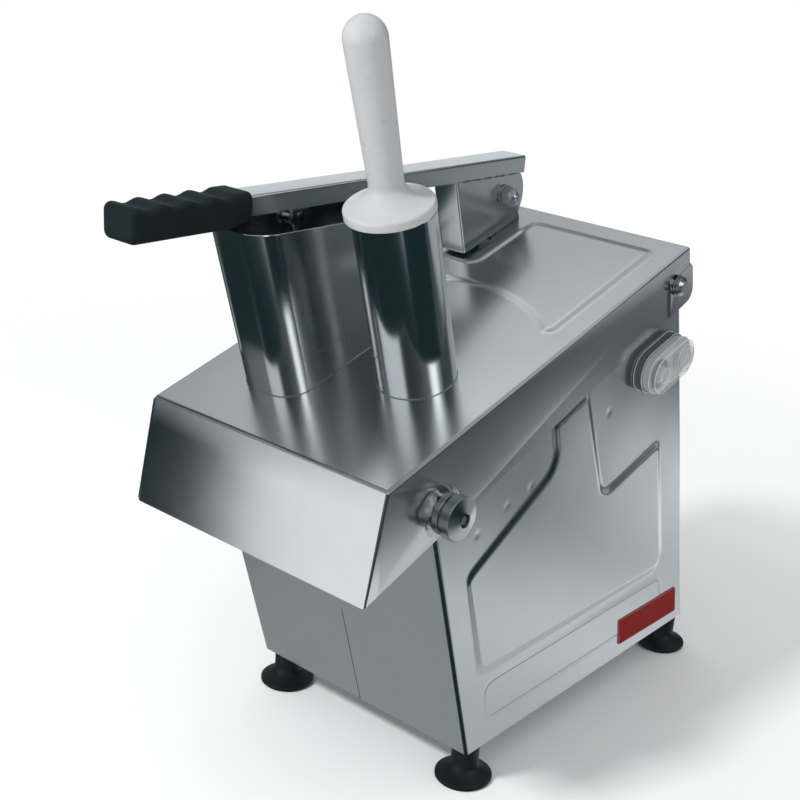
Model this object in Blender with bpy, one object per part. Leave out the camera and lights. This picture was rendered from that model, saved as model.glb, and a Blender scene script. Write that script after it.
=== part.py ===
"""Bench-top vegetable cutter: leaning sheet-steel body, hinged cover, lever press and round feed tube.

World: +X to the machine's right, -Y to its front, +Z up, floor at Z = 0.
The body leans forward, so most pieces are drawn in the lean frame (u, v, n):
u is across, v runs up along the cover towards the rear, n stands square out of the cover.
Its origin is the middle of the cover's front top edge. The lever is drawn in a level frame at its pivot.
"""

import math

import bmesh
import bpy
from mathutils import Matrix, Vector

MM = 0.001

# Lean, gaps and sheet
LEAN = math.radians(17.3)
CREST_HEIGHT = 292.0 * MM
GAP = 0.3 * MM
SHEET = 1.2 * MM
THROUGH = 10.0 * MM
FAR = 500.0 * MM

# Cover
COVER_WIDTH = 226.0 * MM
COVER_LENGTH = 370.0 * MM
COVER_BEND = 2.4 * MM
HOOD_DEPTH = 70.0 * MM
HOOD_REACH = 38.5 * MM
FLANGE_DEPTH_REAR = 45.0 * MM
FLANGE_CORNER = 10.0 * MM
REAR_LIP = 12.0 * MM
FIELD_HEIGHT = 1.5 * MM
FIELD_SLOPE = 5.0 * MM
FIELD_SIDE_MARGIN = 18.5 * MM
FIELD_REAR_MARGIN = 19.0 * MM
FIELD_GAP = 21.5 * MM
FIELD_CORNER = 10.0 * MM
NOTCH_SIDE = 24.5 * MM
NOTCH_SHARE = 0.68
PAD_LENGTH = 37.0 * MM
PAD_TOP = 13.0 * MM
PAD_HEIGHT = 1.6 * MM

# Body
BODY_SIDE_GAP = 1.8 * MM
BODY_FRONT = 38.1 * MM
BODY_REAR_GAP = 12.1 * MM
BODY_BEND = 3.0 * MM
BODY_TOP_GAP = 6.0 * MM
BODY_CLEARANCE = 32.4 * MM
FRONT_POST = 9.0 * MM
EMBOSS_HEIGHT = 1.5 * MM
EMBOSS_SLOPE = 5.0 * MM
EMBOSS_MARGIN_FRONT = 23.5 * MM
EMBOSS_MARGIN_REAR = 33.6 * MM
NECK_START = 138.5 * MM
NECK_WIDTH = 47.5 * MM
NECK_GAP = 4.0 * MM
NECK_DROP = 89.0 * MM
NECK_SLANT = 28.0 * MM
FIELD_BOTTOM = 69.0 * MM
FIELD_SHOULDER = 156.5 * MM
BAND_BOTTOM = 19.0 * MM
BAND_HEIGHT = 44.0 * MM

# Feet and bottom sheet
FOOT_RADIUS = 23.0 * MM
FOOT_RIM = 4.0 * MM
FOOT_STEM_RADIUS = 11.2 * MM
FOOT_BELL_HEIGHT = 14.0 * MM
FOOT_INSET_SIDE = 12.5 * MM
FOOT_INSET_FRONT = 16.0 * MM
FOOT_INSET_REAR = 11.5 * MM
BASE_THICKNESS = 2.0 * MM
VENT_LENGTH = 76.0 * MM
VENT_WIDTH = 7.0 * MM
VENT_PITCH = 18.0 * MM
VENTS = 4

# Cutting chamber and discs
DISC_CENTRE = 114.3 * MM
DISC_GAP = 5.7 * MM
DISC_THICKNESS = 5.0 * MM
DISC_DROP = 5.0 * MM
DISC_HUB_RADIUS = 16.0 * MM
DISC_HUB_DEPTH = 26.0 * MM
BLADE_RIM_GAP = 4.5 * MM
BLADE_WIDTH = 17.0 * MM
BLADE_THICKNESS = 1.2 * MM
BLADE_MOUTH = 13.0 * MM
SCREW_RADIUS = 2.0 * MM
CHAMBER_DEPTH = 72.0 * MM
TRAY_SHEET = 1.5 * MM
DECK_DROP = 8.0 * MM
EJECTOR_INSET = 3.5 * MM
EJECTOR_THICKNESS = 4.0 * MM
EJECTOR_RIB_HEIGHT = 12.0 * MM
EJECTOR_RIB_WIDTH = 6.0 * MM
EJECTOR_FLOOR_GAP = 3.0 * MM

# Drive
SHAFT_RADIUS = 9.0 * MM
DRIVE_PIN_RADIUS = 2.5 * MM
BEARING_RADIUS = 20.0 * MM
BEARING_WIDTH = 12.0 * MM
BEARING_SPACING = 28.0 * MM
HOUSING_WALL = 6.0 * MM
HOUSING_FLANGE_RADIUS = 36.0 * MM
HOUSING_FLANGE = 6.0 * MM
DRIVEN_PULLEY_RADIUS = 66.0 * MM
MOTOR_PULLEY_RADIUS = 14.0 * MM
PULLEY_WIDTH = 15.0 * MM
PULLEY_RIM = 1.5 * MM
BELT_THICKNESS = 3.2 * MM
BELT_WIDTH = 12.0 * MM
MOTOR_SHARE = 0.486
MOTOR_RADIUS = 60.0 * MM
MOTOR_FLOOR_GAP = 17.0 * MM
MOTOR_BELL = 22.0 * MM
MOTOR_SHAFT_RADIUS = 6.0 * MM
MOUNT_DROP = 19.5 * MM
MOUNT_SHEET = 3.0 * MM
MOUNT_LENGTH = 126.0 * MM
MOUNT_FLANGE = 22.0 * MM

# Hopper and round tube
HOPPER_HALF_LENGTH = 70.0 * MM
HOPPER_INNER_SIDE = -15.0 * MM
HOPPER_INSET = 10.0 * MM
HOPPER_CORNER = 20.0 * MM
HOPPER_RIM_GAP = 1.0 * MM
HOPPER_WALL = 1.5 * MM
TUBE_CENTRE_U = 42.2 * MM
TUBE_RADIUS = 29.0 * MM
TUBE_WALL = 1.5 * MM
TUBE_HEIGHT = 128.0 * MM

# Pestle
PESTLE_RADIUS = 25.0 * MM
PESTLE_SHIFT = 1.4 * MM
PESTLE_TIP = 6.0 * MM
PESTLE_FLANGE_RADIUS = 31.2 * MM
PESTLE_FLANGE = 7.0 * MM
PESTLE_NECK_RADIUS = 11.9 * MM
PESTLE_NECK_HEIGHT = 15.0 * MM
PESTLE_HEAD_RADIUS = 14.3 * MM
PESTLE_HANDLE = 129.0 * MM

# Lever and its pivot. Heights over the pivot are level ones.
LEVER_U = -51.5 * MM
PIVOT_INSET = 39.0 * MM
PIVOT_N = 28.8 * MM
PIVOT_RADIUS = 5.0 * MM
BAR_WIDTH = 25.0 * MM
BAR_HEIGHT = 13.6 * MM
BAR_WALL = 2.0 * MM
BAR_ABOVE_PIVOT = 17.0 * MM
BAR_REAR = 24.5 * MM
BAR_PAST_PUSHER = 143.5 * MM
BAR_BEND = 1.8 * MM
CHEEK_FRONT = 57.7 * MM
CHEEK_RADIUS = 25.8 * MM
CHEEK_SHEET = 2.0 * MM
CHEEK_BEND = 2.5 * MM
BRACKET_SHEET = 3.0 * MM
BRACKET_EAR_RADIUS = 12.0 * MM
BRACKET_FOOT = 40.0 * MM
GRIP_LENGTH = 103.0 * MM
GRIP_WIDTH = 29.5 * MM
GRIP_HEIGHT = 22.3 * MM
GRIP_DROP = 6.5 * MM
GRIP_END = 9.5 * MM
GRIP_ROUND = 3.0 * MM
FINGER_PITCH = 21.0 * MM
FINGER_DEPTH = 3.2 * MM
FINGERS = 4

# Pusher
PUSHER_LEAN = math.radians(4.0)
PUSHER_PIN_OFFSET = 4.3 * MM
PUSHER_PIN_DROP = 7.5 * MM
PUSHER_PIN_RADIUS = 3.0 * MM
PUSHER_ROD_RADIUS = 5.0 * MM
PUSHER_EYE_RADIUS = 6.5 * MM
PUSHER_FOOT_RADIUS = 12.0 * MM
PUSHER_PLATE = 3.0 * MM
PUSHER_FLOOR_GAP = 13.0 * MM
PUSHER_END_GAP = 10.5 * MM
PUSHER_SIDE_GAP = 6.5 * MM
PUSHER_ARC_GAP = 9.0 * MM
LUG_SHEET = 3.0 * MM
LUG_RADIUS = 8.0 * MM

# Cover hinge
HINGE_INSET = 23.0 * MM
HINGE_N = -23.5 * MM
HINGE_RADIUS = 4.0 * MM
HINGE_HEAD_RADIUS = 7.5 * MM
HINGE_HEAD = 4.5 * MM
HINGE_WASHER_RADIUS = 8.5 * MM
HINGE_WASHER = 1.5 * MM
HINGE_NUT = 6.0 * MM

# Clamp knob
KNOB_INSET = 7.9 * MM
KNOB_N = -46.0 * MM
KNOB_RADIUS = 16.0 * MM
KNOB_NECK_RADIUS = 13.5 * MM
KNOB_LENGTH = 17.5 * MM
KNOB_RIM = 8.0 * MM
KNOB_CONE = 3.0 * MM
KNOB_BASE = 5.0 * MM
KNOB_TEETH = 16
STUD_RADIUS = 4.0 * MM
STUD_HEAD_RADIUS = 5.2 * MM
BOSS_RADIUS = 21.0 * MM
BOSS_SLOPE = 6.5 * MM
BOSS_HEIGHT = 3.2 * MM
SLOT_SIDE_GAP = 0.9 * MM

# Switch
SWITCH_INSET = 55.2 * MM
SWITCH_N = -77.0 * MM
SWITCH_PITCH = 29.5 * MM
SWITCH_RADIUS = 17.0 * MM
GASKET_HEIGHT = 7.4 * MM
GASKET_WALL = 4.0 * MM
FRAME_HEIGHT = 5.6 * MM
FRAME_INSET = 0.8 * MM
BOOT_HEIGHT = 5.0 * MM
BOOT_INSET = 1.8 * MM
BOOT_WALL = 1.2 * MM
START_RADIUS = 7.5 * MM
STOP_RADIUS = 9.5 * MM
START_DOME = 1.5 * MM
STOP_DOME = 5.0 * MM
BUTTON_TRAVEL = 3.0 * MM
CONTACT_DEPTH = 30.0 * MM

# Electrics
CAPACITOR_U = -72.0 * MM
CAPACITOR_RADIUS = 18.0 * MM
CAPACITOR_LENGTH = 62.0 * MM
CONTROL_WIDTH = 56.0 * MM
CONTROL_DEPTH = 26.0 * MM
CONTROL_HEIGHT = 56.0 * MM
GLAND_U = 60.0 * MM
GLAND_N = -300.0 * MM
GLAND_RADIUS = 8.0 * MM
MAGNET_WIDTH = 18.0 * MM
MAGNET_LENGTH = 28.0 * MM
SENSOR_HEIGHT = 12.0 * MM

# What follows from them
COVER_HALF = COVER_WIDTH / 2
BODY_HALF = COVER_HALF - BODY_SIDE_GAP
INSIDE_HALF = BODY_HALF - SHEET
BODY_REAR = COVER_LENGTH - SHEET - BODY_REAR_GAP
FLOOR_N = -CHAMBER_DEPTH
DECK_N = -DECK_DROP
DISC_TOP = -DISC_DROP
CHAMBER_RADIUS = INSIDE_HALF - GAP - TRAY_SHEET
DISC_RADIUS = CHAMBER_RADIUS - DISC_GAP
HOPPER_ARC_RADIUS = DISC_RADIUS - HOPPER_INSET
HINGE_V = COVER_LENGTH - HINGE_INSET
KNOB_V = BODY_FRONT + KNOB_INSET
PIVOT_V = COVER_LENGTH - PIVOT_INSET
MOTOR_ROOM_FRONT = DISC_CENTRE + HOUSING_FLANGE_RADIUS
MOTOR_CENTRE = MOTOR_ROOM_FRONT + MOTOR_SHARE * (BODY_REAR - SHEET - MOTOR_ROOM_FRONT)
SWITCH_V = BODY_REAR - SWITCH_INSET
PUSHER_PIN_V = DISC_CENTRE - PUSHER_PIN_OFFSET
PUSHER_PIN_RISE = (BAR_ABOVE_PIVOT + (PIVOT_V - PUSHER_PIN_V) * math.sin(LEAN)) / math.cos(LEAN)
PUSHER_PIN_N = PIVOT_N + PUSHER_PIN_RISE - PUSHER_PIN_DROP
PUSHER_LENGTH = (PUSHER_PIN_N - PUSHER_FLOOR_GAP) / math.cos(PUSHER_LEAN)
PUSHER_HALF_LENGTH = HOPPER_HALF_LENGTH - HOPPER_WALL - PUSHER_END_GAP
PIN_DISTANCE = (PIVOT_V - PUSHER_PIN_V) * math.cos(LEAN) + (PUSHER_PIN_N - PIVOT_N) * math.sin(LEAN)
BAR_FRONT = PIN_DISTANCE + BAR_PAST_PUSHER
GRIP_FRONT = BAR_FRONT + GRIP_END


# Frames

def lean_to_world(u, v, n):
    """A point of the lean frame, before the model is moved to its origin."""
    return Vector((u, v * math.cos(LEAN) - n * math.sin(LEAN),
                   CREST_HEIGHT + v * math.sin(LEAN) + n * math.cos(LEAN)))


def lean_n_at_height(v, height):
    """n of the lean-frame point at v that stands at this height above the floor."""
    return (height - CREST_HEIGHT - v * math.sin(LEAN)) / math.cos(LEAN)


def level_from_pivot(v, n):
    """(y, z) of a lean-frame point in the lever's level frame."""
    dv, dn = v - PIVOT_V, n - PIVOT_N
    return (dv * math.cos(LEAN) - dn * math.sin(LEAN), dv * math.sin(LEAN) + dn * math.cos(LEAN))


def flange_n(v):
    """n of the cover flange's lower edge at v."""
    rear = COVER_LENGTH - FLANGE_CORNER
    return -HOOD_DEPTH + (HOOD_DEPTH - FLANGE_DEPTH_REAR) * (v + HOOD_REACH) / (rear + HOOD_REACH)


def body_y(v, height):
    """World y of a body wall at this height."""
    return lean_to_world(0, v, lean_n_at_height(v, height)).y


def clear_scene():
    for old in list(bpy.data.objects):
        bpy.data.objects.remove(old, do_unlink=True)


def empty(name, parent, location, lean=0.0):
    frame = bpy.data.objects.new(name, None)
    bpy.context.scene.collection.objects.link(frame)
    frame.empty_display_size = 0.03
    frame.parent = parent
    frame.location = location
    frame.rotation_euler = (lean, 0, 0)
    return frame


# Materials

def material(name, colour, roughness, metallic=0.0, alpha=1.0):
    made = bpy.data.materials.new(name)
    made.use_nodes = True
    shader = made.node_tree.nodes["Principled BSDF"]
    shader.inputs["Base Color"].default_value = (*colour, 1.0)
    shader.inputs["Roughness"].default_value = roughness
    shader.inputs["Metallic"].default_value = metallic
    shader.inputs["Alpha"].default_value = alpha
    made.diffuse_color = (*colour, alpha)
    return made


# Outlines, as lists of 2D points

def arc(centre, radius, start, end, steps):
    """Points on an arc; the angles are in degrees."""
    points = []
    for k in range(steps + 1):
        a = math.radians(start + (end - start) * k / steps)
        points.append((centre[0] + radius * math.cos(a), centre[1] + radius * math.sin(a)))
    return points


def circle(centre, radius, steps):
    return arc(centre, radius, 0, 360, steps)[:-1]


def rounded(corners, steps=5):
    """A closed outline with filleted corners, from (x, y, radius) corners."""
    points = []
    count = len(corners)
    for k in range(count):
        here = Vector(corners[k][:2])
        radius = corners[k][2]
        if radius <= 0:
            points.append(tuple(here))
            continue
        back = (Vector(corners[k - 1][:2]) - here).normalized()
        ahead = (Vector(corners[(k + 1) % count][:2]) - here).normalized()
        half = back.angle(ahead) / 2
        reach = radius / math.tan(half)
        middle = here + (back + ahead).normalized() * (radius / math.sin(half))
        first, last = here + back * reach - middle, here + ahead * reach - middle
        turn = first.angle_signed(last)
        for s in range(steps + 1):
            a = -turn * s / steps
            c, sn = math.cos(a), math.sin(a)
            points.append((middle.x + first.x * c - first.y * sn, middle.y + first.x * sn + first.y * c))
    return points


def stadium(first, last, radius, steps=10):
    """Two round ends about points that share the same second coordinate."""
    return arc(first, radius, 90, 270, steps) + arc(last, radius, -90, 90, steps)


def area(points):
    count = len(points)
    return sum(points[k - 1][0] * points[k][1] - points[k][0] * points[k - 1][1] for k in range(count)) / 2


def inset(points, distance):
    """The outline moved inwards by this distance."""
    side = 1 if area(points) > 0 else -1
    count = len(points)
    moved = []
    for k in range(count):
        before, here, after = (Vector(points[(k + j) % count]) for j in (-1, 0, 1))
        a, b = (here - before).normalized(), (after - here).normalized()
        na, nb = Vector((-a.y, a.x)) * side, Vector((-b.y, b.x)) * side
        across = (na + nb).normalized()
        moved.append(tuple(here + across * (distance / max(across.dot(na), 0.3))))
    return moved


def half_moon(inner_side, arc_radius, front, rear, corner, steps=5):
    """Feed opening: a straight inner side, an outer arc about the disc's centre, and rounded corners."""
    mid = (front + rear) / 2
    half = (rear - front) / 2
    reach = arc_radius - corner
    du = math.sqrt(reach ** 2 - (half - corner) ** 2)
    turn = math.degrees(math.atan2(half - corner, du))
    c_front, c_rear = mid - half + corner, mid + half - corner
    points = arc((inner_side - corner, c_rear), corner, 0, 90, steps)
    points += arc((-du, c_rear), corner, 90, 180 - turn, steps)
    points += arc((0, mid), arc_radius, 180 - turn, 180 + turn, 3 * steps)[1:-1]
    points += arc((-du, c_front), corner, 180 + turn, 270, steps)
    points += arc((inner_side - corner, c_front), corner, -90, 0, steps)
    return points


# Solids, as bmeshes

AXES = {
    "n": lambda a, b, h: (a, b, h),
    "u": lambda a, b, h: (h, a, b),
    "v": lambda a, b, h: (a, h, b),
}


def prism(outline, low, high, axis="n"):
    """An outline extruded from low to high. Its plane is (u, v) for n, (v, n) for u and (u, n) for v."""
    mesh = bmesh.new()
    face = mesh.faces.new([mesh.verts.new(AXES[axis](a, b, low)) for a, b in outline])
    grown = bmesh.ops.extrude_face_region(mesh, geom=[face])
    top = [g for g in grown["geom"] if isinstance(g, bmesh.types.BMVert)]
    bmesh.ops.translate(mesh, verts=top, vec=Vector(AXES[axis](0, 0, high - low)))
    bmesh.ops.recalc_face_normals(mesh, faces=mesh.faces)
    return mesh


def box(low, high):
    mesh = bmesh.new()
    bmesh.ops.create_cube(mesh, size=1.0)
    size = Vector(high) - Vector(low)
    bmesh.ops.scale(mesh, verts=mesh.verts, vec=size)
    bmesh.ops.translate(mesh, verts=mesh.verts, vec=Vector(low) + size / 2)
    return mesh


def frustum(outline, top_outline, low, high, axis="n"):
    """A solid between two outlines with the same number of points."""
    mesh = bmesh.new()
    bottom = [mesh.verts.new(AXES[axis](a, b, low)) for a, b in outline]
    top = [mesh.verts.new(AXES[axis](a, b, high)) for a, b in top_outline]
    count = len(outline)
    mesh.faces.new(bottom)
    mesh.faces.new(top)
    for k in range(count):
        j = (k + 1) % count
        mesh.faces.new((bottom[k], bottom[j], top[j], top[k]))
    bmesh.ops.recalc_face_normals(mesh, faces=mesh.faces)
    return mesh


def wall(outline, thickness, low, high_of):
    """An upright wall along a closed outline, inwards from it; high_of(v) gives its top edge."""
    mesh = bmesh.new()
    inner_outline = inset(outline, thickness)
    rings = []
    for points, high in ((outline, False), (outline, True), (inner_outline, True), (inner_outline, False)):
        rings.append([mesh.verts.new((a, b, high_of(b) if high else low)) for a, b in points])
    count = len(outline)
    for r in range(4):
        one, two = rings[r], rings[(r + 1) % 4]
        for k in range(count):
            j = (k + 1) % count
            mesh.faces.new((one[k], one[j], two[j], two[k]))
    bmesh.ops.recalc_face_normals(mesh, faces=mesh.faces)
    return mesh


def facets(radius):
    """How many flats a round piece of this radius gets."""
    return 4 * max(3, round(0.9 * math.sqrt(radius / MM)))


def turned(profile, centre, steps=0, axis="n", closed=False):
    """A solid turned about an axis through centre; the profile's points are (radius, height).

    An open profile starts and ends on the axis. A closed one makes a ring.
    """
    mesh = bmesh.new()
    verts = [mesh.verts.new((radius, 0, height)) for radius, height in profile]
    edges = [mesh.edges.new(pair) for pair in zip(verts, verts[1:])]
    if closed:
        edges.append(mesh.edges.new((verts[-1], verts[0])))
    bmesh.ops.spin(
        mesh, geom=verts + edges, cent=(0, 0, 0), axis=(0, 0, 1), dvec=(0, 0, 0),
        angle=math.tau, steps=steps or facets(max(radius for radius, _ in profile)), use_merge=True,
    )
    bmesh.ops.remove_doubles(mesh, verts=mesh.verts, dist=1e-6)
    if axis == "u":
        bmesh.ops.rotate(mesh, verts=mesh.verts, cent=(0, 0, 0),
                         matrix=Matrix.Rotation(math.pi / 2, 3, "Y"))
    if axis == "v":
        bmesh.ops.rotate(mesh, verts=mesh.verts, cent=(0, 0, 0),
                         matrix=Matrix.Rotation(-math.pi / 2, 3, "X"))
    bmesh.ops.translate(mesh, verts=mesh.verts, vec=Vector(centre))
    bmesh.ops.recalc_face_normals(mesh, faces=mesh.faces)
    return mesh


def cylinder(radius, low, high, centre, axis="n", ease=0.0, steps=0):
    """A round bar whose end edges may be eased."""
    profile = [(0, high), (radius, high), (radius, low), (0, low)]
    if ease > 0:
        profile[1:3] = [(radius - ease, high), (radius, high - ease), (radius, low + ease),
                        (radius - ease, low)]
    return turned(profile, centre, steps, axis)


def ring(outer, inner, low, high, centre, axis="n"):
    return turned([(outer, high), (outer, low), (inner, low), (inner, high)], centre, axis=axis,
                  closed=True)


def bore(radius, face, centre, axis="u"):
    """A cutter for a round hole through the wall at this face."""
    return cylinder(radius + GAP, face - THROUGH, face + THROUGH, centre, axis=axis)


def hexagon(radius, low, high, centre, axis="u"):
    """A bolt head or a nut across its corners."""
    return cylinder(radius, low, high, centre, axis, steps=6)


def level_in_u(edge):
    """An edge whose ends have the same u."""
    return abs(edge.verts[0].co.x - edge.verts[1].co.x) < 1e-6


def bevel_where(mesh, width, chosen, segments=2):
    edges = [e for e in mesh.edges if chosen(e)]
    bmesh.ops.bevel(mesh, geom=edges, offset=width, segments=segments, profile=0.5, affect="EDGES")
    return mesh


# Objects

def add(name, mesh, finish, parent, smooth=35.0):
    """An object drawn in its parent's frame."""
    data = bpy.data.meshes.new(name)
    mesh.to_mesh(data)
    mesh.free()
    data.materials.append(finish)
    data.shade_smooth()
    data.set_sharp_from_angle(angle=math.radians(smooth))
    obj = bpy.data.objects.new(name, data)
    bpy.context.scene.collection.objects.link(obj)
    obj.parent = parent
    return obj


def add_lean(name, mesh, finish, parent, **kwargs):
    """An object drawn in the lean frame, under an empty that stands somewhere in that frame."""
    obj = add(name, mesh, finish, parent, **kwargs)
    if parent is not LEAN_FRAME:
        obj.location = -parent.location
    return obj


def boolean(obj, mesh, operation, name):
    tool = bpy.data.objects.new(f"{obj.name}_{name}", bpy.data.meshes.new(f"{obj.name}_{name}"))
    mesh.to_mesh(tool.data)
    mesh.free()
    bpy.context.scene.collection.objects.link(tool)
    tool.parent = obj
    tool.hide_render = True
    tool.display_type = "WIRE"
    step = obj.modifiers.new(name, "BOOLEAN")
    step.operation = operation
    step.solver = "EXACT"
    step.object = tool


def cut(obj, mesh, name):
    boolean(obj, mesh, "DIFFERENCE", name)


def join(obj, mesh, name):
    boolean(obj, mesh, "UNION", name)


def emboss(obj, outline, slope, height, face, axis, name, sheet=SHEET):
    """Presses a raised field with sloped sides out of a sheet: its skin moves out and its back follows."""
    sign = 1 if face > 0 or axis == "n" else -1
    crown = inset(outline, slope)
    join(obj, frustum(outline, crown, face - sign * sheet / 2, face + sign * height, axis), f"{name}_out")
    back = inset(outline, sheet * 0.4)
    back_crown = inset(crown, sheet * 0.4)
    low = face - sign * (sheet + height)
    cut(obj, frustum(inset(back, -slope), back_crown, low, face + sign * (height - sheet), axis),
        f"{name}_back")


# Sub-parts of the body

def body_outline(shrink=0.0):
    half = BODY_HALF - shrink
    front, rear = BODY_FRONT + shrink, BODY_REAR - shrink
    radius = max(BODY_BEND - shrink, 0.8 * MM)
    return rounded([(-half, front, radius), (half, front, radius), (half, rear, radius),
                    (-half, rear, radius)], 3)


def below_height(height):
    """A block that holds everything in the body below this height above the floor."""
    block = box((-FAR, -FAR, -FAR), (FAR, 2 * FAR, 0))
    place = Matrix.Translation((0, 0, lean_n_at_height(0, height))) @ Matrix.Rotation(-LEAN, 4, "X")
    bmesh.ops.transform(block, matrix=place, verts=block.verts)
    return block


def side_field():
    """The pressed field of a side panel, as (v, n): a broad field with a neck up to the cover's flange."""
    front, rear = BODY_FRONT + EMBOSS_MARGIN_FRONT, BODY_REAR - EMBOSS_MARGIN_REAR
    low = BODY_CLEARANCE + FIELD_BOTTOM
    neck_front = BODY_FRONT + NECK_START
    neck_rear = neck_front + NECK_WIDTH
    neck_low = -NECK_DROP
    tight = EMBOSS_SLOPE + 2 * MM
    return rounded([
        (neck_front, flange_n(neck_front) - NECK_GAP, tight), (neck_front, neck_low, 2 * tight),
        (front, neck_low - NECK_SLANT, 2 * tight), (front, lean_n_at_height(front, low), 2 * tight),
        (rear, lean_n_at_height(rear, low), 2 * tight), (rear, -FIELD_SHOULDER, tight + 2 * MM),
        (neck_rear + 10 * MM, -FIELD_SHOULDER, tight + 2 * MM),
        (neck_rear, flange_n(neck_rear) - NECK_GAP, tight),
    ], 3)


def side_band():
    """The long pressed band along the foot of a side panel, level with the floor."""
    front, rear = BODY_FRONT + EMBOSS_MARGIN_FRONT, BODY_REAR - EMBOSS_MARGIN_REAR
    low = BODY_CLEARANCE + BAND_BOTTOM
    corners = ((front, low), (rear, low), (rear, low + BAND_HEIGHT), (front, low + BAND_HEIGHT))
    return rounded([(v, lean_n_at_height(v, height), 14 * MM) for v, height in corners], 3)


def make_housing(steel):
    housing = add_lean("housing", prism(body_outline(), -FAR, -BODY_TOP_GAP), steel, LEAN_FRAME)
    cut(housing, prism(body_outline(SHEET), -FAR - THROUGH, THROUGH), "hollow")
    cut(housing, below_height(BODY_CLEARANCE), "foot_cut")
    window = BODY_HALF - FRONT_POST
    mouth = box((-window, BODY_FRONT - THROUGH, FLOOR_N - TRAY_SHEET),
                (window, BODY_FRONT + THROUGH, THROUGH))
    cut(housing, mouth, "mouth")
    for side, tag in ((-1, "left"), (1, "right")):
        emboss(housing, side_field(), EMBOSS_SLOPE, EMBOSS_HEIGHT, side * BODY_HALF, "u", f"field_{tag}")
        emboss(housing, side_band(), EMBOSS_SLOPE, EMBOSS_HEIGHT, side * BODY_HALF, "u", f"band_{tag}")
        cut(housing, bore(HINGE_RADIUS, side * BODY_HALF, (0, HINGE_V, HINGE_N)), f"hinge_{tag}")
    cut(housing, bore(STUD_RADIUS, BODY_HALF, (0, KNOB_V, KNOB_N)), "stud")
    opening = prism(switch_outline(GASKET_WALL + 1 * MM), INSIDE_HALF - THROUGH, BODY_HALF + THROUGH, "u")
    cut(housing, opening, "switch")
    cut(housing, bore(GLAND_RADIUS, BODY_REAR, (GLAND_U, 0, GLAND_N), "v"), "gland")


def make_base_plate(steel):
    """The bottom sheet, level, with a row of vent slots under the motor."""
    low = BODY_CLEARANCE + GAP
    high = low + BASE_THICKNESS
    front = body_y(BODY_FRONT + SHEET, low) + 2 * GAP
    rear = body_y(BODY_REAR - SHEET, high) - 2 * GAP
    half = INSIDE_HALF - GAP
    corners = ((-half, front), (half, front), (half, rear), (-half, rear))
    plate = add("base_plate", prism(rounded([(*c, BODY_BEND) for c in corners], 2), low, high), steel,
                MACHINE)
    middle = body_y(MOTOR_CENTRE, low)
    reach = (VENT_LENGTH - VENT_WIDTH) / 2
    for k in range(VENTS):
        y = middle + (k - (VENTS - 1) / 2) * VENT_PITCH
        slot = stadium((-reach, y), (reach, y), VENT_WIDTH / 2, 4)
        cut(plate, prism(slot, low - THROUGH, high + THROUGH), f"vent_{k + 1}")


def foot_places():
    front = body_y(BODY_FRONT, BODY_CLEARANCE) + FOOT_INSET_FRONT
    rear = body_y(BODY_REAR, BODY_CLEARANCE) - FOOT_INSET_REAR
    across = BODY_HALF - FOOT_INSET_SIDE
    return {
        "foot_front_left": (-across, front), "foot_front_right": (across, front),
        "foot_rear_left": (-across, rear), "foot_rear_right": (across, rear),
    }


def make_feet(rubber):
    """Rubber feet: a straight stem that flares into a bell."""
    profile = [(0, BODY_CLEARANCE), (FOOT_STEM_RADIUS, BODY_CLEARANCE)]
    for t in (0.0, 0.3, 0.65, 1.0):
        radius = FOOT_STEM_RADIUS + (FOOT_RADIUS - 1 * MM - FOOT_STEM_RADIUS) * t ** 1.7
        profile.append((radius, FOOT_BELL_HEIGHT + (FOOT_RIM - FOOT_BELL_HEIGHT) * t ** 0.8))
    profile += [(FOOT_RADIUS, FOOT_RIM - 1 * MM), (FOOT_RADIUS, 1 * MM), (FOOT_RADIUS - 1 * MM, 0), (0, 0)]
    for name, (x, y) in foot_places().items():
        foot = add(name, turned(profile, (0, 0, 0), 20), rubber, MACHINE)
        foot.location = (x, y, 0)


# Cutting chamber, spindle and discs

def chamber_outline(radius, front, steps=20):
    """A straight-sided channel that ends in a half circle about the disc's centre."""
    return [(radius, front)] + arc((0, DISC_CENTRE), radius, 0, 180, steps) + [(-radius, front)]


def make_chamber_tray(steel):
    """Drawn tray: a floor, side walls that meet in a half-round wall, and a deck over the drive."""
    half = INSIDE_HALF - GAP
    front, rear = BODY_FRONT + SHEET + GAP, BODY_REAR - SHEET - GAP
    block = prism(body_outline(SHEET + GAP), FLOOR_N - TRAY_SHEET, DECK_N)
    tray = add_lean("chamber_tray", block, steel, LEAN_FRAME)
    cut(tray, prism(chamber_outline(CHAMBER_RADIUS, front - THROUGH), FLOOR_N, THROUGH), "chamber")
    behind = arc((0, DISC_CENTRE), CHAMBER_RADIUS + TRAY_SHEET, 8, 172, 20)
    wide = half + THROUGH
    space = behind + [(-wide, behind[-1][1]), (-wide, rear + THROUGH), (wide, rear + THROUGH),
                      (wide, behind[0][1])]
    cut(tray, prism(space, FLOOR_N - TRAY_SHEET - THROUGH, DECK_N - TRAY_SHEET), "drive_space")
    hole = cylinder(SHAFT_RADIUS + HOUSING_WALL, FLOOR_N - THROUGH, FLOOR_N + THROUGH, (0, DISC_CENTRE, 0))
    cut(tray, hole, "shaft_hole")
    cut(tray, bore(STUD_HEAD_RADIUS, half, (0, KNOB_V, KNOB_N)), "stud_head")


def drive_levels():
    """n of the drive's stations below the tray floor."""
    top = FLOOR_N - TRAY_SHEET - GAP
    upper = top - HOUSING_FLANGE - 4 * MM
    lower = upper - BEARING_SPACING
    end = lower - BEARING_WIDTH - 2 * MM
    pulley = end - 6 * MM
    low = pulley - PULLEY_WIDTH
    return {"top": top, "upper": upper, "lower": lower, "end": end, "pulley": pulley, "pulley_low": low,
            "mount": low - MOUNT_DROP}


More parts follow.
